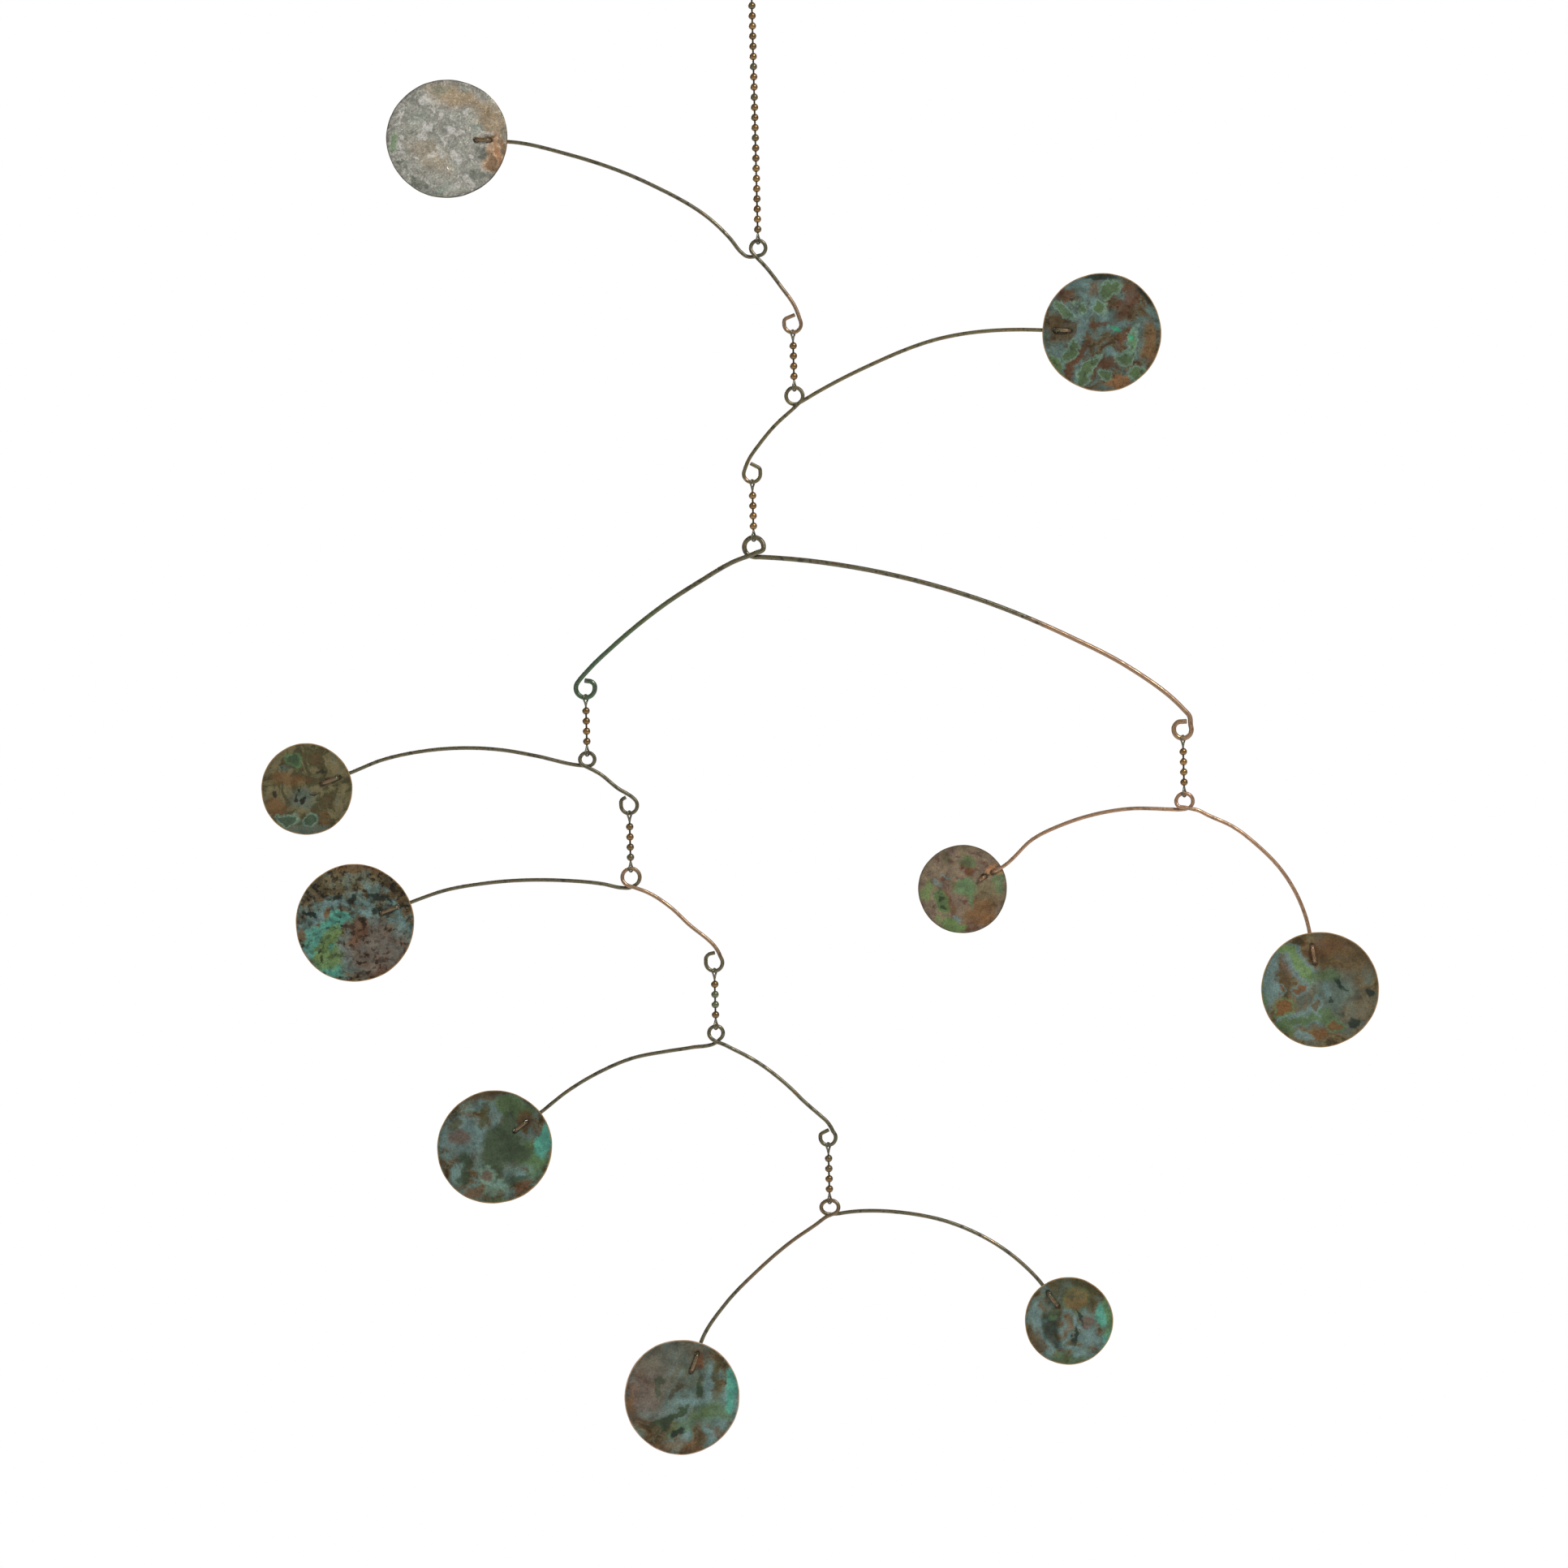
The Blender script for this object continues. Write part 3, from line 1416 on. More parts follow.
@dataclass
class BallChain:
    """Ball chain: hollow looking beads with a rolled lip round each link."""

    bead: float = 3.2 * MM
    pitch: float = 4.3 * MM
    link: float = 0.8 * MM
    lip: float = 0.62 * MM  # radius of a bead's mouth
    sink: float = 0.16 * MM  # how far the link starts inside the lip
    pocket: float = 0.5 * MM
    pocket_depth: float = 1.0 * MM
    sides: int = 24
    rows: int = 14
    tree: bpy.types.NodeTree = field(default_factory=ball_chain_tree)
    finish: bpy.types.Material = field(
        default_factory=lambda: BeadFinish().material("bead_copper")
    )

    def profile(self, pocketed: bool) -> list[tuple[float, float]]:
        """Draw a bead's outline from top to bottom as (radius, height).

        Args:
            pocketed: True for an end bead, with a pocket for a tie at its top.

        Returns:
            The outline's points.
        """
        ball = self.bead / 2
        mouth = math.asin(self.lip / ball)
        lip_height = ball * math.cos(mouth)
        round_lip = 0.06 * MM
        if pocketed:
            floor = ball - self.pocket_depth
            points = [(0.0, floor), (self.pocket, floor), (self.pocket, lip_height)]
        else:
            points = [
                (self.link / 2, self.pitch / 2),
                (self.link / 2 * 0.92, lip_height + self.sink),
                (self.link / 2, lip_height - self.sink),
            ]
        points.append((self.lip - round_lip, lip_height + round_lip / 2))
        for i in range(self.rows + 1):
            angle = mouth + (math.pi - 2 * mouth) * i / self.rows
            points.append((ball * math.sin(angle), ball * math.cos(angle)))
        points.append((self.lip - round_lip, -lip_height - round_lip / 2))
        points += [
            (self.link / 2, -lip_height + self.sink),
            (self.link / 2 * 0.92, -lip_height - self.sink),
            (self.link / 2, -self.pitch / 2),
        ]
        return points

    def bead_object(self, pocketed: bool) -> bpy.types.Object:
        """Turn one bead, with half a link at each open end, and note how deep each point lies.

        Args:
            pocketed: True for an end bead.

        Returns:
            The bead, round the origin.
        """
        mesh = bpy.data.meshes.new("bead")
        work = bmesh.new()
        deep = work.verts.layers.float.new("nook")
        line = []
        for radius, height in self.profile(pocketed):
            vert = work.verts.new((radius, 0.0, height))
            vert[deep] = 1.0 - radius / (self.bead / 2)
            line.append(vert)
        edges = [work.edges.new(pair) for pair in zip(line, line[1:])]
        bmesh.ops.spin(
            work, geom=line + edges, cent=(0, 0, 0), axis=(0, 0, 1), angle=math.tau,
            steps=self.sides, use_merge=True,
        )
        bmesh.ops.remove_doubles(work, verts=work.verts, dist=WELD)
        bmesh.ops.recalc_face_normals(work, faces=work.faces)
        work.to_mesh(mesh)
        work.free()
        return plain_object("end_bead" if pocketed else "bead", mesh)

    def build(self, arm: str, top: Vector) -> bpy.types.Object:
        """Make one chain and hand it over.

        Args:
            arm: The arm that the chain carries.
            top: The middle of the chain's top bead.

        Returns:
            The finished chain.
        """
        low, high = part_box(arm + "_chain")
        count = round((high[2] - low[2] - self.bead) / self.pitch) + 1
        bead, end_bead = self.bead_object(False), self.bead_object(True)
        carrier = plain_object(arm + "_beads", bpy.data.meshes.new("chain"))
        dullest, brightest = BEAD_TONES[arm]
        values = {
            "Bead": bead,
            "End Bead": end_bead,
            "Count": count,
            "Pitch": self.pitch,
            "Sides": self.sides,
            "Seed": sum(map(ord, arm)) + count,
            "Dullest": dullest,
            "Brightest": brightest,
            "Material": self.finish,
        }
        piece = shaped(carrier, self.tree, values, Matrix.Translation(top))
        for used in (bead, end_bead):
            bpy.data.objects.remove(used, do_unlink=True)
        return handed_over(piece, arm + "_body", arm + "_chain")


TIE_FINISH = WireFinish((Tone.SOOT, Tone.OLIVE_GREY, Tone.GREY_TEAL), bare=0.3, blotch=1.2 * MM)


@dataclass
class TieLoop:
    """A thin wire loop whose two legs close into the stem that a chain's end bead holds."""

    wire: float = 0.8 * MM
    reach: float = 5.2 * MM
    stem_depth: float = 0.8 * MM
    bead: float = 3.2 * MM
    turn: float = math.radians(60)
    sides: int = 12
    play: tuple[float, float] = (0.6, 0.5)  # over and beside the carried wire, in solids' gaps
    foot: tuple[float, float] = (0.4, 0.7)  # where a leg meets the stem: across and up, in wires
    sag: float = 0.25  # how far a leg bows, in wires
    finish: bpy.types.Material = field(
        default_factory=lambda: TIE_FINISH.material("tie_finish", 1.0)
    )

    def half_line(self, carried: float) -> list[Vector]:
        """Draw half of the loop, from its top down to the end of the stem.

        Args:
            carried: The diameter of the wire inside the loop.

        Returns:
            The middle line's points, at and right of the mirror plane.
        """
        over, beside = self.play
        rise = carried / 2 + SOLID_GAP * over + self.wire / 2
        half = carried / 2 / math.sin(self.turn) + SOLID_GAP * beside + self.wire / 2
        join = self.bead / 2 + SOLID_GAP + self.wire / 2
        points = [Vector((-self.wire / 4, 0.0, self.reach + rise))]
        for degrees in range(6, 106, 9):
            angle = math.radians(degrees)
            height = self.reach + rise * math.cos(angle)
            points.append(Vector((half * math.sin(angle), 0.0, height)))
        leg = points[-1]
        foot = Vector((self.wire * self.foot[0], 0.0, join + self.wire * self.foot[1]))
        steps = 6
        for k in range(1, steps + 1):
            share = k / steps
            sag = self.sag * self.wire * math.sin(math.pi * share)
            points.append(leg.lerp(foot, share) - Vector((sag * 0.5, 0.0, 0.0)))
        points.append(Vector((self.wire * 0.12, 0.0, join + self.wire * 0.1)))
        points.append(Vector((0.0, 0.0, join - self.wire * 0.2)))
        points.append(Vector((0.0, 0.0, self.bead / 2 - self.stem_depth)))
        return points

    def build(self, node: str, carried: float, place: Matrix, body: str) -> bpy.types.Object:
        """Make one tie and hand it over.

        Args:
            node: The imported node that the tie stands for.
            carried: The diameter of the wire inside the loop.
            place: The middle of the end bead, with Z towards the loop.
            body: The body that it moves with.

        Returns:
            The finished tie.
        """
        data = bpy.data.curves.new(node, "CURVE")
        data.dimensions = "3D"
        data.bevel_depth = self.wire / 2
        data.bevel_resolution = self.sides // 4
        data.use_fill_caps = True
        spline = data.splines.new("POLY")
        line = self.half_line(carried)
        spline.points.add(len(line) - 1)
        for slot, point in zip(spline.points, line):
            slot.co = (*point, 1.0)
        spline.use_smooth = True
        curve = plain_object(node + "_half", data)
        half = plain_object(node + "_loop", evaluated_mesh(curve))
        bpy.data.objects.remove(curve, do_unlink=True)
        weld(half.data)
        mirror = half.modifiers.new("mirror", "MIRROR")
        mirror.use_bisect_axis[0] = True
        mirror.merge_threshold = mirror.bisect_threshold = MM / 1000
        mesh = evaluated_mesh(half)
        half.modifiers.clear()
        half.data = mesh
        mesh.materials.clear()
        mesh.materials.append(self.finish)
        mesh.transform(place)
        return handed_over(half, body, node)


def evaluated_mesh(obj: bpy.types.Object) -> bpy.types.Mesh:
    """The object's shape with its modifiers, as a new mesh."""
    depsgraph = bpy.context.evaluated_depsgraph_get()
    return bpy.data.meshes.new_from_object(obj.evaluated_get(depsgraph))


def weld(mesh: bpy.types.Mesh) -> None:
    """Merge points that coincide, such as those of a filled end.

    Args:
        mesh: The mesh, which is changed in place.
    """
    work = bmesh.new()
    work.from_mesh(mesh)
    bmesh.ops.remove_doubles(work, verts=work.verts, dist=WELD)
    work.to_mesh(mesh)
    work.free()


@dataclass
class HangingRing:
    """The ring that the whole mobile hangs from: a wire bent round until its ends meet."""

    inner: float = 10.0 * MM
    joint_at: float = 118.0  # where the two ends meet, in degrees
    joint_gap: float = 0.12 * MM

    def build(self, bender: WireBender, finish: WireFinish) -> bpy.types.Object:
        """Bend the ring and hand it over.

        Args:
            bender: What lays the wire along the route.
            finish: The wire's finish.

        Returns:
            The finished ring.
        """
        radius = (self.inner + ARM_WIRE) / 2
        gap = math.degrees(self.joint_gap / radius)
        steps = 90
        route = [
            toward(self.joint_at + gap / 2 + (360 - gap) * k / steps) * radius
            for k in range(steps + 1)
        ]
        piece = bender.bend("hanging_ring_wire", route, ARM_WIRE, finish, Matrix.Identity(4))
        return handed_over(piece, "hanger", "hanging_ring")


# The nine patinas, in shares of each disc's radius

P = Patch
T = Tone

TEAL_GROUND: Ground = (
    (0.0, T.UMBER), (0.25, T.BROWN), (0.42, T.TAUPE), (0.58, T.GREY_TEAL), (0.9, T.BLUE_GREY),
)
BROWN_GROUND: Ground = (
    (0.0, T.UMBER), (0.25, T.BROWN), (0.5, T.DRAB), (0.7, T.TAUPE), (0.95, T.GREY_TEAL),
)
OLIVE_GROUND: Ground = (
    (0.0, T.BROWN), (0.3, T.OLIVE), (0.5, T.DRAB), (0.8, T.DRAB), (0.97, T.GREY_TEAL),
)
SILVER_GROUND: Ground = (
    (0.0, T.LEAD), (0.24, T.PEWTER), (0.48, T.SILVER), (0.7, T.PEWTER), (0.95, T.GLINT),
)
ROSE_GROUND: Ground = (
    (0.0, T.RED_BROWN), (0.25, T.MAUVE), (0.5, T.ROSE_BROWN), (0.75, T.ROSE_BROWN), (0.95, T.DRAB),
)

PATINAS: dict[str, Patina] = {
    "top_arm_disc": Patina(SILVER_GROUND, (
        P(T.SAND, 0.22, 0.66, 0.55, 0.16, -20, 0.85, 0.6),
        P(T.SAND, 0.75, 0.22, 0.24, 0.26, 0, 0.8, 0.6),
        P(T.SAND, -0.3, -0.3, 0.4, 0.2, -40, 0.45, 0.6),
        P(T.GREY_TEAL, -0.5, -0.8, 0.3, 0.1, -20, 0.5, 0.5),
        P(T.ROSE_BEIGE, 0.82, -0.34, 0.22, 0.42, 14, 0.95, 0.25),
        P(T.WARM_BROWN, 0.72, -0.44, 0.05, 0.26, 14, 0.8, 0.5),
        P(T.WARM_BROWN, 0.9, -0.2, 0.04, 0.2, 14, 0.7, 0.5),
        P(T.BRIGHT_COPPER, 0.82, -0.36, 0.04, 0.34, 14, 0.6, 0.5),
        P(T.GREEN, -0.92, -0.03, 0.06, 0.12, 0, 0.8, 0.4),
        P(T.LEAD, 0.52, -0.58, 0.1, 0.1, 20, 0.85, 0.35),
        P(T.LEAD, -0.42, -0.7, 0.12, 0.08, -20, 0.85, 0.35),
        P(T.GREY_TEAL, -0.48, 0.44, 0.12, 0.1, 30, 0.6, 0.5),
        P(T.LEAD, 0.54, -0.28, 0.09, 0.09, 0, 0.85, 0.35),
        P(T.GREY_TEAL, -0.05, -0.92, 0.2, 0.06, 0, 0.7, 0.4),
        P(T.GREY_TEAL, -0.08, 0.8, 0.14, 0.08, 0, 0.6, 0.4),
        P(T.BLUE_GREY, 0.5, 0.18, 0.08, 0.1, 0, 0.7, 0.4),
        P(T.GLINT, -0.36, 0.08, 0.045, 0.1, 12, 1.0, 0.5),
        P(T.GLINT, -0.13, -0.22, 0.04, 0.1, 22, 1.0, 0.5),
        P(T.GLINT, -0.03, -0.02, 0.03, 0.12, -20, 0.9, 0.5),
        P(T.GLINT, -0.26, -0.27, 0.1, 0.03, 0, 0.9, 0.5),
        P(T.GLINT, -0.8, -0.1, 0.04, 0.06, 0, 0.9, 0.5),
        P(T.GLINT, 0.6, 0.1, 0.04, 0.1, 60, 0.8, 0.5),
        P(T.UMBER, 0.62, -0.03, 0.1, 0.05, 0, 0.8, 0.5),
    ), seed=1.0, mottle=3.4, shade=0.84, veins=0.1, vein_tone=T.GLINT, pits=0.3,
        pit_tone=T.LEAD, sparkle=0.4, gloss=0.26, dimple_depth=0.24 * MM, rim=T.BROWN),
    "upper_arm_disc": Patina(TEAL_GROUND, (
        P(T.RED_BROWN, 0.44, 0.55, 0.34, 0.12, 62, 0.8, 0.4),
        P(T.BROWN, -0.6, 0.1, 0.3, 0.2, 10, 0.8, 0.4),
        P(T.RED_BROWN, -0.62, 0.62, 0.22, 0.14, 30, 0.7, 0.4),
        P(T.RED_BROWN, -0.42, -0.46, 0.34, 0.07, 58, 0.9, 0.4),
        P(T.RED_BROWN, 0.14, -0.5, 0.26, 0.09, 15, 0.8, 0.4),
        P(T.RED_BROWN, -0.02, 0.14, 0.24, 0.06, 10, 0.8, 0.4),
        P(T.RED_BROWN, 0.34, -0.08, 0.07, 0.2, -30, 0.8, 0.4),
        P(T.RUST, -0.06, 0.74, 0.12, 0.14, 0, 0.6, 0.4),
        P(T.BRONZE, 0.78, -0.24, 0.12, 0.34, 12, 0.9, 0.4),
        P(T.COPPER, 0.28, -0.84, 0.22, 0.12, 24, 0.95, 0.35),
        P(T.BLUE_GREY, -0.36, 0.05, 0.09, 0.28, -12, 0.9, 0.4),
        P(T.NIGHT, 0.74, 0.6, 0.08, 0.24, 35, 0.9, 0.35),
        P(T.NIGHT, 0.0, 0.96, 0.3, 0.07, 0, 0.8, 0.4),
        P(T.MOSS, 0.2, 0.76, 0.2, 0.12, 30, 0.9, 0.2, T.PALE_RIM),
        P(T.MOSS, 0.03, 0.45, 0.09, 0.08, 0, 0.9, 0.2, T.PALE_RIM),
        P(T.MOSS, -0.68, 0.4, 0.16, 0.07, -20, 0.8, 0.25, T.PALE_RIM),
        P(T.MOSS, -0.34, 0.46, 0.07, 0.07, 0, 0.8, 0.25, T.PALE_RIM),
        P(T.MOSS, -0.5, -0.3, 0.08, 0.18, -15, 0.9, 0.2, T.PALE_RIM),
        P(T.LEAF, -0.78, -0.6, 0.13, 0.18, 35, 0.8, 0.2, T.PALE_RIM),
        P(T.MOSS, -0.28, -0.68, 0.07, 0.3, -40, 0.9, 0.2, T.PALE_RIM),
        P(T.MOSS, 0.06, -0.75, 0.1, 0.08, 0, 0.9, 0.2, T.PALE_RIM),
        P(T.MOSS, 0.38, -0.4, 0.16, 0.1, 20, 0.9, 0.2, T.PALE_RIM),
        P(T.MOSS, 0.58, -0.68, 0.13, 0.12, 0, 0.9, 0.2, T.PALE_RIM),
        P(T.GREEN, 0.48, -0.14, 0.05, 0.15, -10, 0.8, 0.25, T.PALE_RIM),
        P(T.EMERALD, 0.24, 0.08, 0.09, 0.04, -25, 0.9, 0.3),
        P(T.EMERALD, 0.47, -0.1, 0.03, 0.05, 0, 0.8, 0.4),
    ), seed=2.0, mottle=2.6, shade=0.56, glow=0.86, veins=0.15, pits=0.6, sparkle=0.2),
    "left_arm_1_disc": Patina(OLIVE_GROUND, (
        P(T.RUST, -0.38, 0.24, 0.4, 0.12, -6, 0.6, 0.5),
        P(T.RUST, -0.62, -0.36, 0.2, 0.2, 20, 0.7, 0.5),
        P(T.RUST, 0.42, -0.66, 0.12, 0.2, 0, 0.4, 0.5),
        P(T.GREY_TEAL, -0.1, -0.22, 0.26, 0.2, 0, 0.7, 0.5),
        P(T.GREY_TEAL, -0.45, 0.45, 0.14, 0.06, 0, 0.6, 0.5),
        P(T.GREY_TEAL, 0.0, -0.9, 0.6, 0.12, 0, 0.7, 0.5),
        P(T.DEEP_GREEN, -0.28, 0.63, 0.15, 0.1, -10, 0.85, 0.25, T.GREEN),
        P(T.DEEP_GREEN, -0.45, -0.63, 0.17, 0.12, -10, 0.85, 0.2, T.PALE_RIM),
        P(T.DEEP_GREEN, 0.03, -0.68, 0.19, 0.12, 10, 0.85, 0.2, T.PALE_RIM),
        P(T.PIT, -0.18, -0.08, 0.05, 0.06, 0, 0.95, 0.35),
        P(T.PIT, -0.07, -0.25, 0.09, 0.06, 30, 0.95, 0.35),
        P(T.PIT, -0.24, -0.2, 0.04, 0.05, 0, 0.9, 0.35),
        P(T.PIT, 0.13, -0.13, 0.08, 0.03, 10, 0.85, 0.35),
        P(T.PIT, -0.65, -0.11, 0.06, 0.05, 0, 0.85, 0.35),
        P(T.PIT, 0.33, 0.37, 0.09, 0.04, 20, 0.75, 0.35),
        P(T.PIT, 0.45, 0.2, 0.07, 0.05, 0, 0.7, 0.35),
    ), seed=3.0, mottle=2.0, shade=0.76, glow=1.02, veins=0.05, pits=0.35),
    "left_arm_2_disc": Patina(TEAL_GROUND, (
        P(T.RUST, 0.05, 0.95, 0.7, 0.1, 0, 0.8, 0.4),
        P(T.DRAB, -0.2, 0.72, 0.7, 0.2, 0, 0.5, 0.5),
        P(T.MAUVE, 0.35, -0.45, 0.55, 0.45, 0, 0.75, 0.4),
        P(T.RED_BROWN, 0.06, -0.14, 0.12, 0.26, -15, 0.7, 0.4),
        P(T.RED_BROWN, 0.4, -0.88, 0.3, 0.08, 12, 0.7, 0.4),
        P(T.TURQUOISE, -0.3, 0.06, 0.3, 0.17, 15, 0.95, 0.25),
        P(T.TURQUOISE, -0.72, -0.26, 0.24, 0.22, 40, 0.8, 0.3),
        P(T.TURQUOISE, -0.45, -0.78, 0.26, 0.14, -20, 0.9, 0.3),
        P(T.LEAF, -0.46, -0.24, 0.25, 0.14, 42, 0.9, 0.3),
        P(T.LEAF, -0.46, -0.52, 0.28, 0.22, -50, 0.9, 0.3),
        P(T.TURQUOISE, -0.4, -0.4, 0.07, 0.05, 0, 0.8, 0.3),
        P(T.TURQUOISE, -0.68, -0.5, 0.1, 0.05, 30, 0.7, 0.3),
        P(T.RUST, -0.46, 0.2, 0.06, 0.08, 0, 0.8, 0.4),
        P(T.NIGHT, -0.82, 0.2, 0.12, 0.04, -20, 1.0, 0.3),
        P(T.NIGHT, -0.36, 0.46, 0.1, 0.04, 40, 0.9, 0.35),
        P(T.NIGHT, -0.04, 0.46, 0.13, 0.05, 25, 0.9, 0.35),
        P(T.NIGHT, 0.45, 0.36, 0.16, 0.04, -15, 0.9, 0.35),
        P(T.NIGHT, 0.4, 0.18, 0.13, 0.05, 25, 0.9, 0.35),
        P(T.RUST, -0.92, -0.22, 0.08, 0.12, 0, 0.8, 0.4),
    ), seed=4.0, mottle=3.4, veins=0.1, pits=1.0, pit_scale=10.0, pit_share=0.72),
    "left_arm_3_disc": Patina(TEAL_GROUND, (
        P(T.BROWN, 0.1, 0.95, 0.7, 0.1, 0, 0.9, 0.4),
        P(T.BLUE_GREY, -0.5, 0.2, 0.42, 0.36, 0, 0.85, 0.35),
        P(T.MAUVE, -0.62, 0.2, 0.15, 0.14, 0, 0.85, 0.4),
        P(T.OLIVE, -0.68, 0.4, 0.14, 0.07, 20, 0.8, 0.35),
        P(T.OLIVE, -0.14, 0.6, 0.07, 0.26, -16, 0.8, 0.3),
        P(T.BLUE_GREY, 0.06, 0.66, 0.12, 0.2, -30, 0.7, 0.35),
        P(T.MOSS, 0.36, 0.68, 0.34, 0.17, -25, 0.9, 0.3, T.GREY_TEAL),
        P(T.MOSS, 0.6, -0.12, 0.3, 0.26, -25, 0.9, 0.35),
        P(T.GREEN, 0.74, -0.36, 0.14, 0.3, -20, 0.6, 0.4),
        P(T.STAR_GREEN, 0.12, 0.04, 0.33, 0.4, -12, 1.0, 0.2),
        P(T.STAR_GREEN, 0.26, 0.4, 0.14, 0.28, -20, 0.9, 0.35),
        P(T.STAR_GREEN, 0.46, -0.08, 0.26, 0.15, -10, 0.9, 0.35),
        P(T.STAR_GREEN, 0.02, -0.42, 0.14, 0.2, 12, 0.9, 0.35),
        P(T.BROWN, 0.52, 0.43, 0.12, 0.15, -20, 0.95, 0.3),
        P(T.GREY_TEAL, 0.6, 0.2, 0.18, 0.06, -15, 0.8, 0.35),
        P(T.DEEP_GREEN, -0.5, -0.2, 0.17, 0.12, -15, 0.9, 0.35),
        P(T.DEEP_GREEN, -0.54, -0.46, 0.08, 0.17, -15, 0.85, 0.35),
        P(T.MAUVE, -0.12, -0.48, 0.09, 0.12, 0, 0.9, 0.25, T.PALE_RIM),
        P(T.PALE_RIM, 0.02, -0.72, 0.24, 0.1, 10, 0.6, 0.4),
        P(T.DEEP_GREEN, 0.34, -0.62, 0.24, 0.06, 14, 0.8, 0.4),
        P(T.TURQUOISE, 0.88, 0.08, 0.13, 0.28, -6, 1.0, 0.25),
        P(T.MOSS, -0.3, -0.95, 0.6, 0.1, 0, 0.7, 0.4),
        P(T.RUST, -0.38, -0.75, 0.18, 0.13, 10, 0.75, 0.35),
        P(T.RED_BROWN, 0.5, -0.72, 0.16, 0.08, 25, 0.7, 0.4),
    ), seed=5.0, mottle=2.6, swirl=0.42, glow=1.08, veins=0.35, pits=0.3),
    "left_arm_4_large_disc": Patina(TEAL_GROUND, (
        P(T.MAUVE, -0.6, 0.25, 0.45, 0.6, -10, 0.8, 0.5),
        P(T.TAUPE, -0.2, 0.7, 0.6, 0.3, 10, 0.7, 0.5),
        P(T.RUST, -0.88, -0.12, 0.1, 0.16, 10, 0.7, 0.5),
        P(T.RUST, -0.1, -0.86, 0.5, 0.1, 0, 0.5, 0.5),
        P(T.GREY_TEAL, 0.1, 0.1, 0.45, 0.4, 0, 0.6, 0.5),
        P(T.BLUE_GREY, 0.46, 0.26, 0.07, 0.3, -4, 0.9, 0.3),
        P(T.BLUE_GREY, 0.22, -0.1, 0.3, 0.07, -6, 0.85, 0.35),
        P(T.DEEP_GREEN, 0.3, 0.18, 0.05, 0.24, 0, 0.95, 0.35),
        P(T.OLIVE, 0.6, 0.3, 0.06, 0.3, 0, 0.7, 0.4),
        P(T.MOSS, 0.6, -0.28, 0.36, 0.2, 8, 0.75, 0.4),
        P(T.MOSS, 0.1, -0.46, 0.4, 0.12, 20, 0.6, 0.4),
        P(T.DEEP_GREEN, -0.12, -0.32, 0.3, 0.06, 32, 0.95, 0.35),
        P(T.DEEP_GREEN, -0.44, -0.44, 0.2, 0.05, 20, 0.9, 0.4),
        P(T.NIGHT, -0.03, -0.58, 0.14, 0.08, 30, 0.9, 0.35),
        P(T.DEEP_GREEN, -0.4, 0.26, 0.12, 0.05, 30, 0.7, 0.4),
        P(T.DEEP_GREEN, -0.42, 0.1, 0.05, 0.12, 10, 0.7, 0.4),
        P(T.UMBER, -0.1, 0.12, 0.13, 0.06, 60, 0.7, 0.4),
        P(T.OLIVE, 0.1, 0.44, 0.06, 0.12, 0, 0.6, 0.4),
        P(T.TURQUOISE, 0.88, 0.16, 0.11, 0.42, -2, 1.0, 0.25),
        P(T.RED_BROWN, 0.27, 0.66, 0.07, 0.14, 10, 0.8, 0.4),
        P(T.RED_BROWN, 0.62, -0.7, 0.12, 0.1, 40, 0.5, 0.4),
    ), seed=6.0, mottle=2.2, veins=0.2, pits=0.25, rim=T.ROSE_BEIGE),
    "left_arm_4_small_disc": Patina(TEAL_GROUND, (
        P(T.OLIVE, 0.2, 0.66, 0.7, 0.4, 0, 0.7, 0.5),
        P(T.BLUE_GREY, -0.72, 0.0, 0.13, 0.5, 6, 0.85, 0.4),
        P(T.BROWN, -0.76, -0.4, 0.16, 0.2, 0, 0.7, 0.5),
        P(T.BLUE_GREY, -0.42, -0.66, 0.1, 0.22, -20, 0.8, 0.4),
        P(T.STAR_GREEN, -0.38, 0.16, 0.24, 0.12, 20, 0.8, 0.4),
        P(T.NIGHT, -0.4, -0.15, 0.17, 0.26, -6, 0.8, 0.6),
        P(T.GREEN, -0.38, 0.06, 0.06, 0.06, 0, 0.7, 0.4),
        P(T.NIGHT, -0.3, -0.5, 0.11, 0.14, 0, 0.75, 0.6),
        P(T.BRONZE, 0.19, 0.45, 0.21, 0.24, 0, 0.7, 0.3, T.MOSS),
        P(T.STAR_GREEN, 0.16, 0.56, 0.14, 0.06, 0, 0.6, 0.4),
        P(T.BRONZE, 0.0, -0.14, 0.1, 0.24, -20, 0.5, 0.4),
        P(T.NIGHT, 0.32, 0.06, 0.04, 0.22, 20, 0.85, 0.35),
        P(T.NIGHT, 0.16, -0.32, 0.05, 0.26, -16, 0.85, 0.35),
        P(T.MAUVE, 0.46, -0.02, 0.12, 0.14, 0, 0.8, 0.4),
        P(T.BLUE_GREY, 0.46, -0.4, 0.2, 0.26, 0, 0.85, 0.4),
        P(T.MOSS, -0.1, -0.85, 0.5, 0.12, 0, 0.7, 0.4),
        P(T.TURQUOISE, 0.71, 0.14, 0.11, 0.25, -4, 0.9, 0.3),
        P(T.GREEN, 0.9, 0.0, 0.11, 0.55, 5, 0.95, 0.3),
        P(T.TURQUOISE, 0.86, -0.4, 0.06, 0.26, -24, 0.6, 0.4),
    ), seed=7.0, mottle=2.2, shade=0.74, veins=0.15, pits=0.2),
    "right_arm_small_disc": Patina(ROSE_GROUND, (
        P(T.OLIVE, -0.36, 0.72, 0.12, 0.2, 0, 0.5, 0.5),
        P(T.MOSS, 0.12, 0.6, 0.16, 0.16, 0, 0.75, 0.4),
        P(T.DRAB, 0.55, -0.1, 0.35, 0.3, 0, 0.7, 0.5),
        P(T.MAUVE, -0.3, -0.2, 0.2, 0.4, 20, 0.6, 0.5),
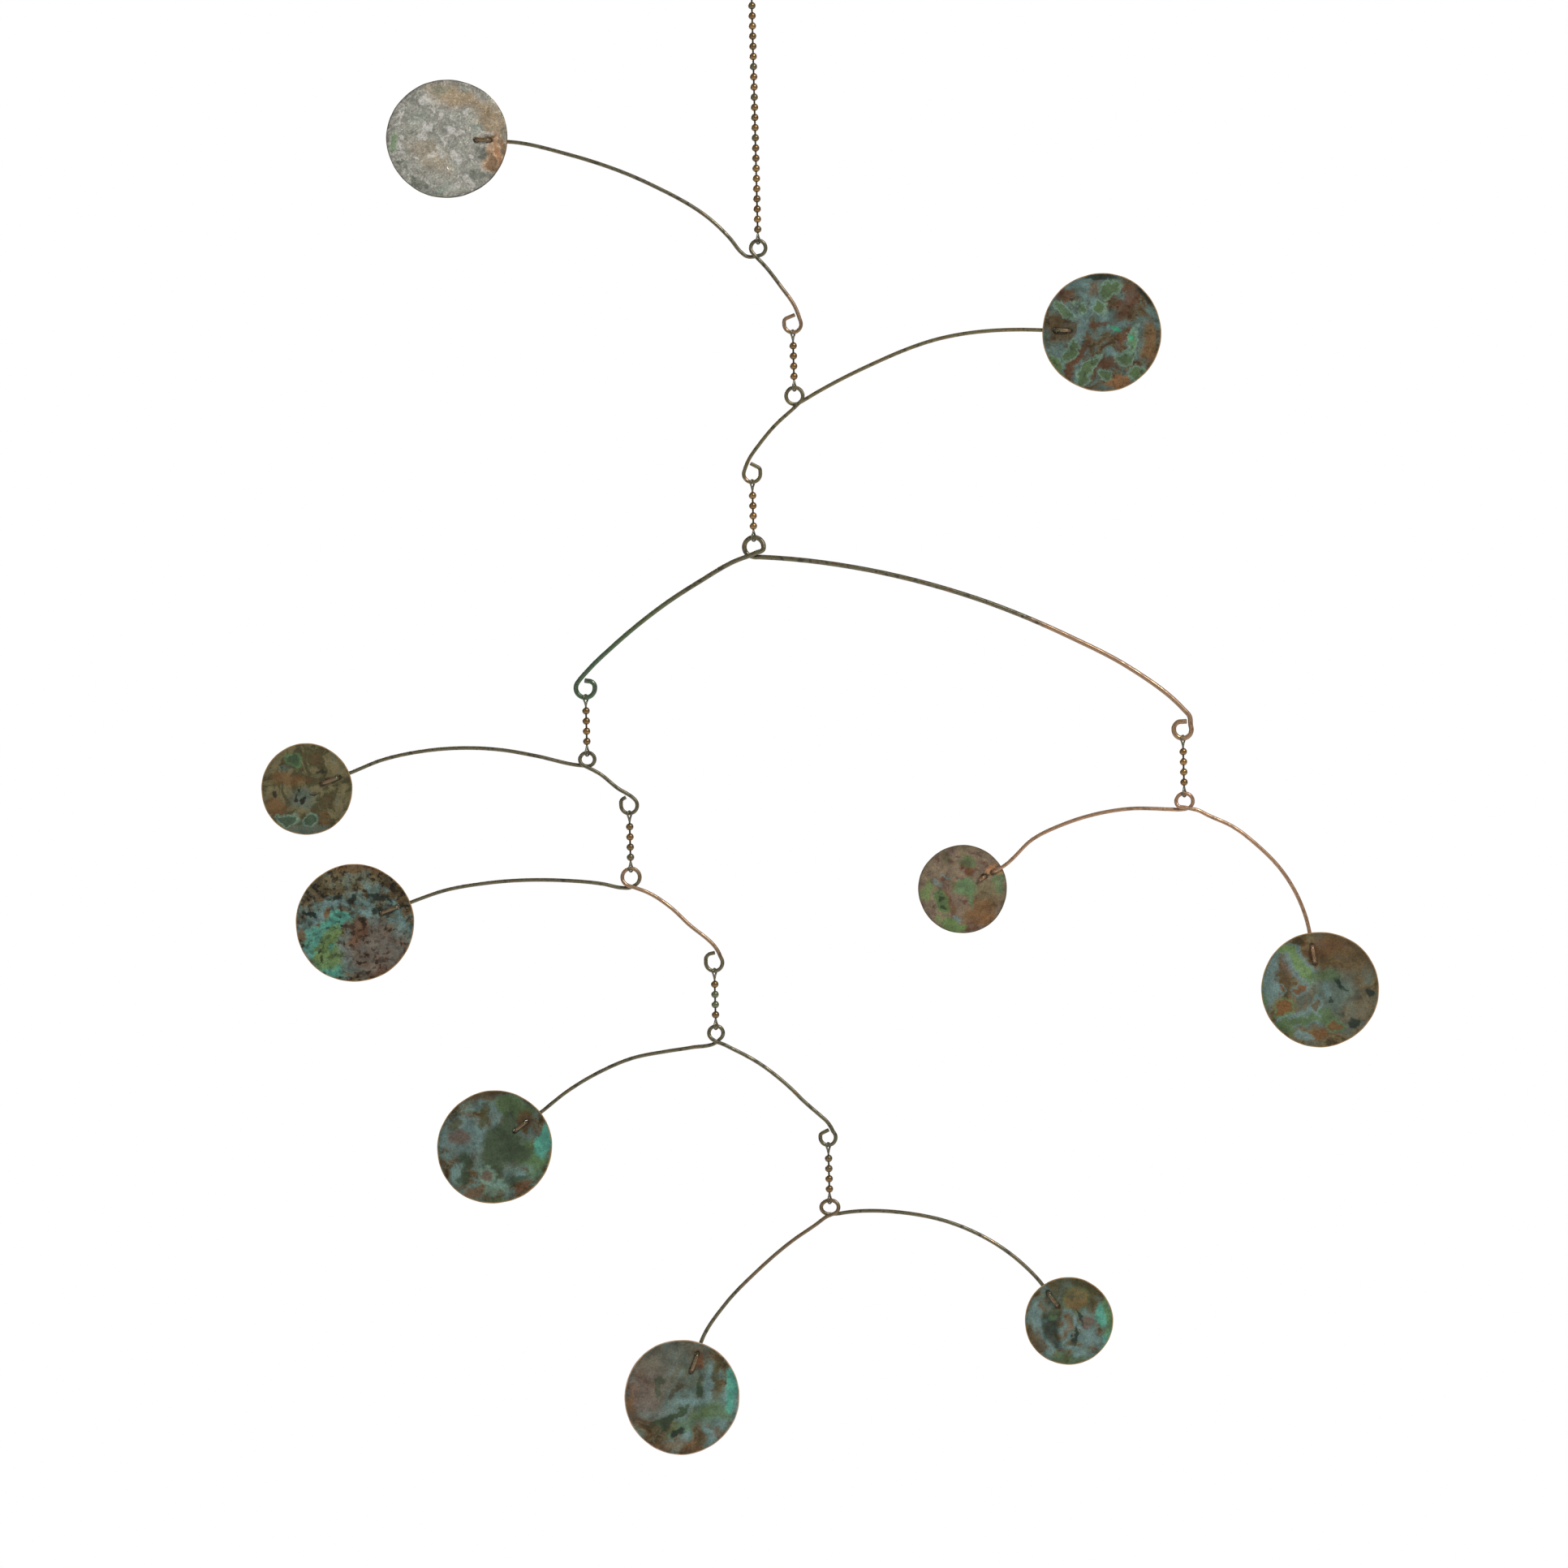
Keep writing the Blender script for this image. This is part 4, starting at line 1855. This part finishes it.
        P(T.RUST, 0.4, -0.5, 0.4, 0.22, 35, 0.8, 0.4),
        P(T.COPPER, 0.5, -0.72, 0.2, 0.1, 30, 0.9, 0.4),
        P(T.RED_BROWN, -0.3, -0.3, 0.1, 0.36, 14, 0.7, 0.4),
        P(T.BRIGHT_COPPER, 0.66, 0.46, 0.15, 0.08, 40, 0.7, 0.5),
        P(T.BRIGHT_COPPER, 0.82, 0.3, 0.06, 0.06, 0, 0.7, 0.5),
        P(T.UMBER, 0.42, 0.26, 0.05, 0.1, -30, 0.9, 0.4),
        P(T.LEAF, -0.82, 0.0, 0.1, 0.24, -20, 0.75, 0.3),
        P(T.MOSS, -0.5, -0.3, 0.15, 0.24, 15, 0.9, 0.3, T.LEAF),
        P(T.PIT, -0.5, -0.24, 0.1, 0.04, 30, 0.7, 0.3),
        P(T.PIT, -0.46, -0.44, 0.08, 0.04, -20, 0.7, 0.3),
        P(T.GREEN, 0.1, 0.03, 0.24, 0.17, 0, 0.85, 0.3),
        P(T.GREEN, 0.18, -0.2, 0.08, 0.18, 10, 0.7, 0.3),
        P(T.LEAF, -0.22, -0.82, 0.28, 0.14, -12, 0.95, 0.3),
        P(T.LEAF, -0.62, -0.7, 0.1, 0.06, -30, 0.8, 0.3),
        P(T.GREEN, 0.8, 0.1, 0.12, 0.2, 0, 0.65, 0.35),
        P(T.BLUE_GREY, -0.36, 0.27, 0.14, 0.04, -10, 0.8, 0.35),
        P(T.BLUE_GREY, -0.56, 0.1, 0.12, 0.04, -40, 0.7, 0.35),
        P(T.BLUE_GREY, -0.1, -0.66, 0.1, 0.06, -30, 0.8, 0.35),
    ), seed=8.0, mottle=2.6, shade=0.72, glow=1.1, veins=0.08, pits=0.3, gloss=0.12,
        sparkle=0.15, rim=T.BROWN),
    "right_arm_large_disc": Patina(BROWN_GROUND, (
        P(T.BROWN, 0.45, 0.62, 0.6, 0.45, -20, 0.8, 0.5),
        P(T.TAUPE, 0.6, -0.3, 0.4, 0.4, 0, 0.5, 0.5),
        P(T.RED_BROWN, 0.1, 0.72, 0.4, 0.16, 0, 0.5, 0.5),
        P(T.GREY_TEAL, 0.22, -0.1, 0.36, 0.36, 0, 0.85, 0.4),
        P(T.GREEN, -0.94, 0.05, 0.06, 0.46, 0, 0.9, 0.35),
        P(T.BLUE_GREY, -0.8, 0.2, 0.1, 0.5, -8, 0.9, 0.35),
        P(T.BROWN, -0.6, 0.2, 0.12, 0.24, 10, 0.8, 0.4),
        P(T.MAUVE, -0.54, 0.46, 0.08, 0.2, 10, 0.8, 0.4),
        P(T.BLUE_GREY, -0.34, 0.42, 0.17, 0.42, 34, 0.9, 0.3),
        P(T.LEAF, -0.56, 0.72, 0.16, 0.09, -20, 0.9, 0.3, T.BLUE_GREY),
        P(T.LEAF, -0.32, 0.4, 0.1, 0.34, 32, 0.85, 0.3),
        P(T.MOSS, 0.06, 0.2, 0.3, 0.08, -10, 0.7, 0.35),
        P(T.RUST, -0.36, 0.01, 0.12, 0.09, 10, 0.9, 0.25, T.BLUE_GREY),
        P(T.RUST, -0.72, 0.0, 0.05, 0.06, 0, 0.8, 0.3, T.BLUE_GREY),
        P(T.BLUE_GREY, -0.34, -0.5, 0.5, 0.12, 16, 0.85, 0.3),
        P(T.RUST, -0.62, -0.32, 0.13, 0.15, 0, 0.95, 0.2, T.GREEN),
        P(T.MOSS, -0.42, -0.56, 0.42, 0.07, 14, 0.9, 0.3),
        P(T.MOSS, 0.1, -0.42, 0.17, 0.1, 20, 0.85, 0.3),
        P(T.BROWN, -0.1, -0.3, 0.12, 0.07, 20, 0.8, 0.3, T.BLUE_GREY),
        P(T.RUST, 0.26, -0.59, 0.1, 0.1, 0, 0.85, 0.25, T.GREEN),
        P(T.RUST, -0.04, -0.8, 0.2, 0.12, 0, 0.8, 0.3),
        P(T.MOSS, -0.6, -0.7, 0.2, 0.09, -30, 0.8, 0.3),
        P(T.BLUE_GREY, -0.3, -0.84, 0.16, 0.08, -10, 0.8, 0.3),
        P(T.BLUE_GREY, 0.14, -0.02, 0.1, 0.12, 0, 0.7, 0.35),
        P(T.NIGHT, 0.37, 0.05, 0.04, 0.14, 30, 0.9, 0.35),
        P(T.NIGHT, 0.24, -0.17, 0.06, 0.06, 0, 0.8, 0.35),
        P(T.NIGHT, 0.86, -0.06, 0.08, 0.12, 0, 0.9, 0.35),
        P(T.NIGHT, 0.52, -0.58, 0.06, 0.1, -15, 0.85, 0.35),
    ), seed=9.0, mottle=2.4, shade=0.76, veins=0.1, pits=0.25),
}


# The eight arms

PLAIN_WIRE = WireFinish((T.SOOT, T.OLIVE_GREY, T.WARM_BROWN))
BROWN_WIRE = WireFinish((T.SOOT, T.DRAB, T.ROSE))

ARMS: tuple[BentArm, ...] = (
    BentArm(
        "top_arm", ARM_WIRE, 4.65 * MM, 1.0, 14, -52, -1,
        104.9 * MM,
        ((-0.051, -0.030), (-0.067, -0.017), (-0.112, 0.041), (-0.174, 0.106), (-0.432, 0.270),
         (-0.756, 0.397)),
        Stitch("top_arm_disc", LARGE_BLANK, 1.016, 0.018, 0.454, 176, (7.4 * MM, 13.2 * MM), 4),
        13.7 * MM,
        ((0.255, -0.638), (0.664, -1.199), (1.097, -1.861)),
        Hook(5.5 * MM, -2.635, -72, 21, 0.8 * MM, 1.0 * MM, 3.9 * MM),
        WireFinish((T.SOOT, T.OLIVE_GREY, T.WARM_BROWN), (Zone(T.ROSE, 0.84, 1.1, 0.6),)),
    ),
    BentArm(
        "upper_arm", ARM_WIRE, 5.4 * MM, 1.0, 46, 27, 1,
        18.8 * MM,
        ((-0.527, -0.725), (-0.830, -1.082), (-1.066, -1.408)),
        Hook(5.4 * MM, -1.917, -109, 28, 1.0 * MM, 1.2 * MM, 3.6 * MM),
        105.5 * MM,
        ((0.096, 0.015), (0.267, 0.098), (0.596, 0.216)),
        Stitch("upper_arm_disc", LARGE_BLANK, 1.006, 0.0, 0.237, -4, (5.5 * MM, 11.2 * MM), -3),
        BROWN_WIRE,
    ),
    BentArm(
        "main_arm", MAIN_ARM_WIRE, 6.1 * MM, 1.0, 78, -57, 1,
        72.8 * MM,
        ((0.007, -0.036), (-0.119, -0.082), (-0.325, -0.195), (-0.470, -0.282),
         (-0.849, -0.568), (-0.977, -0.685)),
        Hook(6.0 * MM, -0.849, -124, 9, 1.6 * MM, 0.25 * MM, 2.15 * MM),
        179.2 * MM,
        ((-0.002, -0.023), (0.013, -0.024), (0.518, -0.134), (0.745, -0.234), (0.877, -0.307),
         (1.003, -0.409), (1.017, -0.426)),
        Hook(5.4 * MM, -0.478, -75, 2, 1.9 * MM, 0.4 * MM, 2.8 * MM),
        WireFinish(
            (T.SOOT, T.OLIVE_GREY, T.WARM_BROWN),
            (
                Zone(T.SEA_GREEN, -0.1, 0.14, 0.65),
                Zone(T.MOSS, 0.12, 0.2, 0.5),
                Zone(T.ROSE, 0.72, 1.1, 0.8),
            ),
        ),
        "green_wire",
    ),
    BentArm(
        "left_arm_1", ARM_WIRE, 4.6 * MM, 0.92, -15, -32, -1,
        100.6 * MM,
        ((-0.036, -0.024), (-0.218, 0.021), (-0.358, 0.049), (-0.695, 0.052), (-0.866, 0.019)),
        Stitch("left_arm_1_disc", SMALL_BLANK, 1.016, -0.009, -0.031, 199, (5.2 * MM, 12.2 * MM), -4),
        17.2 * MM,
        ((0.298, -0.362), (0.708, -0.712)),
        Hook(5.2 * MM, -1.355, -52, 25, 1.2 * MM, 1.2 * MM, 1.1 * MM),
        PLAIN_WIRE,
    ),
    BentArm(
        "left_arm_2", ARM_WIRE, 5.75 * MM, 1.0, 28, -45, -1,
        93.6 * MM,
        ((-0.011, -0.048), (-0.040, -0.047), (-0.129, -0.027), (-0.288, -0.008),
         (-0.658, -0.010), (-0.844, -0.038)),
        Stitch("left_arm_2_disc", LARGE_BLANK, 0.998, 0.006, -0.088, 199, (5.2 * MM, 12.8 * MM), 3),
        34.2 * MM,
        ((0.060, -0.135), (0.189, -0.188), (0.482, -0.387), (0.682, -0.585), (1.055, -0.951)),
        Hook(5.4 * MM, -1.185, -60, 10, 1.8 * MM, 1.3 * MM, 1.85 * MM),
        WireFinish((T.SOOT, T.OLIVE_GREY, T.WARM_BROWN), (Zone(T.ROSE, 0.58, 0.9, 0.7),)),
    ),
    BentArm(
        "left_arm_3", ARM_WIRE, 4.35 * MM, 1.0, 40, -35, -1,
        75.0 * MM,
        ((0.002, -0.051), (-0.143, -0.078), (-0.292, -0.097), (-0.475, -0.129),
         (-0.660, -0.201), (-0.847, -0.306)),
        Stitch("left_arm_3_disc", LARGE_BLANK, 0.972, 0.024, -0.422, 216, (7.3 * MM, 12.9 * MM), 12),
        46.2 * MM,
        ((0.005, -0.081), (0.049, -0.097), (0.141, -0.144), (0.365, -0.272), (0.660, -0.513),
         (0.792, -0.649), (0.938, -0.783), (0.989, -0.831), (1.028, -0.886)),
        Hook(4.85 * MM, -1.052, -50, 25, 0.7 * MM, 0.6 * MM, 3.1 * MM),
        PLAIN_WIRE,
    ),
    BentArm(
        "left_arm_4", ARM_WIRE, 5.7 * MM, 0.81, 46, 0, 1,
        56.0 * MM,
        ((-0.029, -0.071), (-0.108, -0.126), (-0.293, -0.248), (-0.582, -0.485),
         (-0.804, -0.705)),
        Stitch("left_arm_4_large_disc", LARGE_BLANK, 0.974, 0.0, -0.995, 249, (5.0 * MM, 12.6 * MM), -5),
        89.1 * MM,
        ((0.040, -0.032), (0.069, -0.028), (0.373, -0.039), (0.565, -0.086), (0.905, -0.291)),
        Stitch("left_arm_4_small_disc", SMALL_BLANK, 0.979, 0.004, -0.396, -55, (4.0 * MM, 10.6 * MM), 4),
        WireFinish((T.SOOT, T.OLIVE_GREY, T.WARM_BROWN), (Zone(T.WARM_BROWN, 0.2, 0.5, 0.5),)),
    ),
    BentArm(
        "right_arm", ARM_WIRE, 5.5 * MM, 0.92, 35, -60, -1,
        78.1 * MM,
        ((-0.025, -0.045), (-0.064, -0.043), (-0.309, -0.034), (-0.662, -0.109),
         (-0.819, -0.179)),
        Stitch(
            "right_arm_small_disc", SMALL_BLANK, 0.987, 0.004, -0.333, 208, (4.0 * MM, 8.0 * MM),
            lean=-4, wire_in_front=True,
        ),
        51.4 * MM,
        ((0.008, -0.053), (0.118, -0.082), (0.181, -0.116), (0.395, -0.222), (0.591, -0.380),
         (0.786, -0.593)),
        Stitch("right_arm_large_disc", LARGE_BLANK, 0.984, 0.018, -1.103, -81, (6.1 * MM, 13.0 * MM), 5),
        WireFinish((T.WARM_BROWN, T.ROSE, T.PALE_ROSE), roughness=0.3),
        "bright_wire",
    ),
)


# Studio


@dataclass(frozen=True)
class Lamp:
    """A soft square lamp that faces the middle of the mobile."""

    name: str
    place: tuple[float, float, float]  # from the mobile's middle
    size: float  # length of its side
    power: float  # in watts
    colour: tuple[float, float, float] = WHITE[:3]


@dataclass(frozen=True)
class Studio:
    """A pale floor under the hanging mobile, soft light and a camera at the photo's view."""

    view_width: float = 0.66306
    view_middle: tuple[float, float] = (0.0050, -0.3490)
    distance: float = 3.0
    sensor: float = 36.0
    roll: float = -1.5
    sight: tuple[float, float] = (0.05, 50.0)  # nearest and farthest that the camera sees
    floor_height: float = -1.0
    floor_radius: float = 2.0
    floor_tone: Rgba = (0.86, 0.86, 0.86, 1.0)
    floor_roughness: float = 0.9
    floor_glow: float = 0.42
    room_light: float = 0.32
    lamps: tuple[Lamp, ...] = (
        Lamp("key", (1.3, -1.5, 1.6), 0.5, 49.0, (1.0, 0.97, 0.92)),
        Lamp("fill", (-1.6, -1.8, 0.2), 1.0, 5.0, (0.94, 0.97, 1.0)),
        Lamp("back", (-0.9, 2.2, 1.0), 1.2, 26.0),
    )

    def camera(self) -> bpy.types.Object:
        """Set up the camera, level with the middle of the mobile and rolled a little.

        Returns:
            The camera.
        """
        data = bpy.data.cameras.new("camera")
        data.sensor_width = self.sensor
        data.lens = self.sensor * self.distance / self.view_width
        data.clip_start, data.clip_end = self.sight
        made = plain_object("camera", data)
        across, up = self.view_middle
        place = Matrix.Translation((across, -self.distance, up))
        tilt = Matrix.Rotation(math.pi / 2, 4, "X")
        tilt = tilt @ Matrix.Rotation(math.radians(self.roll), 4, "Z")
        made.matrix_world = place @ tilt
        bpy.context.scene.camera = made
        return made

    def hang(self, lamp: Lamp) -> None:
        """Hang a lamp.

        Args:
            lamp: The lamp.
        """
        data = bpy.data.lights.new(lamp.name, "AREA")
        data.size, data.energy, data.color = lamp.size, lamp.power, lamp.colour
        made = plain_object(lamp.name, data)
        across, up = self.view_middle
        place = Vector(lamp.place)
        made.location = Vector((across, 0.0, up)) + place
        made.rotation_mode = "QUATERNION"
        made.rotation_quaternion = (-place).to_track_quat("-Z", "Y")

    def floor(self) -> None:
        """Lay a pale round floor and mark it as stage."""
        mesh = bpy.data.meshes.new("floor")
        work = bmesh.new()
        bmesh.ops.create_circle(work, cap_ends=True, segments=96, radius=self.floor_radius)
        work.to_mesh(mesh)
        work.free()
        mesh.transform(Matrix.Translation((0.0, 0.0, self.floor_height)))
        surface = Surface("pale_floor")
        for name, value in (
            ("Base Color", self.floor_tone),
            ("Roughness", self.floor_roughness),
            ("Emission Color", WHITE),
            ("Emission Strength", self.floor_glow),
        ):
            surface.shader.inputs[name].default_value = value
        mesh.materials.append(surface.material)
        plain_object("floor", mesh)

    def build(self) -> None:
        """Set up the room, the lamps and the camera."""
        scene = bpy.context.scene
        world = bpy.data.worlds.new("pale_room")
        world.use_nodes = True
        light = world.node_tree.nodes["Background"].inputs
        light["Color"].default_value = WHITE
        graph = Graph(world.node_tree)
        direct = graph.node("ShaderNodeLightPath").outputs["Is Camera Ray"]
        world.node_tree.links.new(graph.blend(direct, self.room_light, 1.0), light["Strength"])
        scene.world = world
        scene.view_settings.view_transform = "Standard"
        self.floor()
        for lamp in self.lamps:
            self.hang(lamp)
        self.camera()


@dataclass
class Mobile:
    """The whole mobile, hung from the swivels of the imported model."""

    bender: WireBender = field(default_factory=WireBender)
    discs: DiscMaker = field(default_factory=DiscMaker)
    chain: BallChain = field(default_factory=BallChain)
    tie: TieLoop = field(default_factory=TieLoop)

    def build(self) -> None:
        """Build every arm with its chain, ties and discs, then the ring."""
        by_name = {arm.name: arm for arm in ARMS}
        for joint in frame["joints"]:
            arm = by_name[joint["child"].removesuffix("_body")]
            above = by_name.get(joint["parent"].removesuffix("_body"))
            self.hang(arm, Vector(joint["pos_m"]), above)
        HangingRing().build(self.bender, PLAIN_WIRE)

    def hang(self, arm: BentArm, top: Vector, above: BentArm | None) -> None:
        """Build one arm and what joins it to the arm above.

        Args:
            arm: The arm.
            top: The middle of its chain's top bead, where it swivels.
            above: The arm that it hangs from, or None for the ring.
        """
        low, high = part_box(arm.name + "_chain")
        last = top - Vector((0.0, 0.0, high[2] - low[2] - self.chain.bead))
        eye = last - Vector((0.0, 0.0, self.tie.reach + arm.eye_radius * arm.eye_height))
        turn_up = Matrix.Rotation(self.tie.turn, 4, "Z")
        turn_down = turn_up @ Matrix.Rotation(math.pi, 4, "X")
        body = arm.name + "_body"
        self.chain.build(arm.name, top)
        self.tie.build(
            arm.name + "_upper_tie", above.wire if above else ARM_WIRE,
            Matrix.Translation(top) @ turn_up, above.name + "_body" if above else "hanger",
        )
        low_place = Matrix.Translation(last) @ turn_down
        self.tie.build(arm.name + "_lower_tie", arm.wire, low_place, body)
        arm.build(self.bender, eye)
        for side, reach, end in (
            (-1, arm.left_reach, arm.left_end),
            (1, arm.right_reach, arm.right_end),
        ):
            if isinstance(end, Stitch):
                place = self.discs.place(end, arm.wire, reach, side, eye)
                self.discs.build(end, PATINAS[end.disc], arm.wire, place, body)


def main() -> None:
    """Build the mobile and its studio."""
    logging.basicConfig(level=logging.INFO, format="%(message)s")
    Mobile().build()
    Studio().build()


if __name__ == "__main__":
    main()
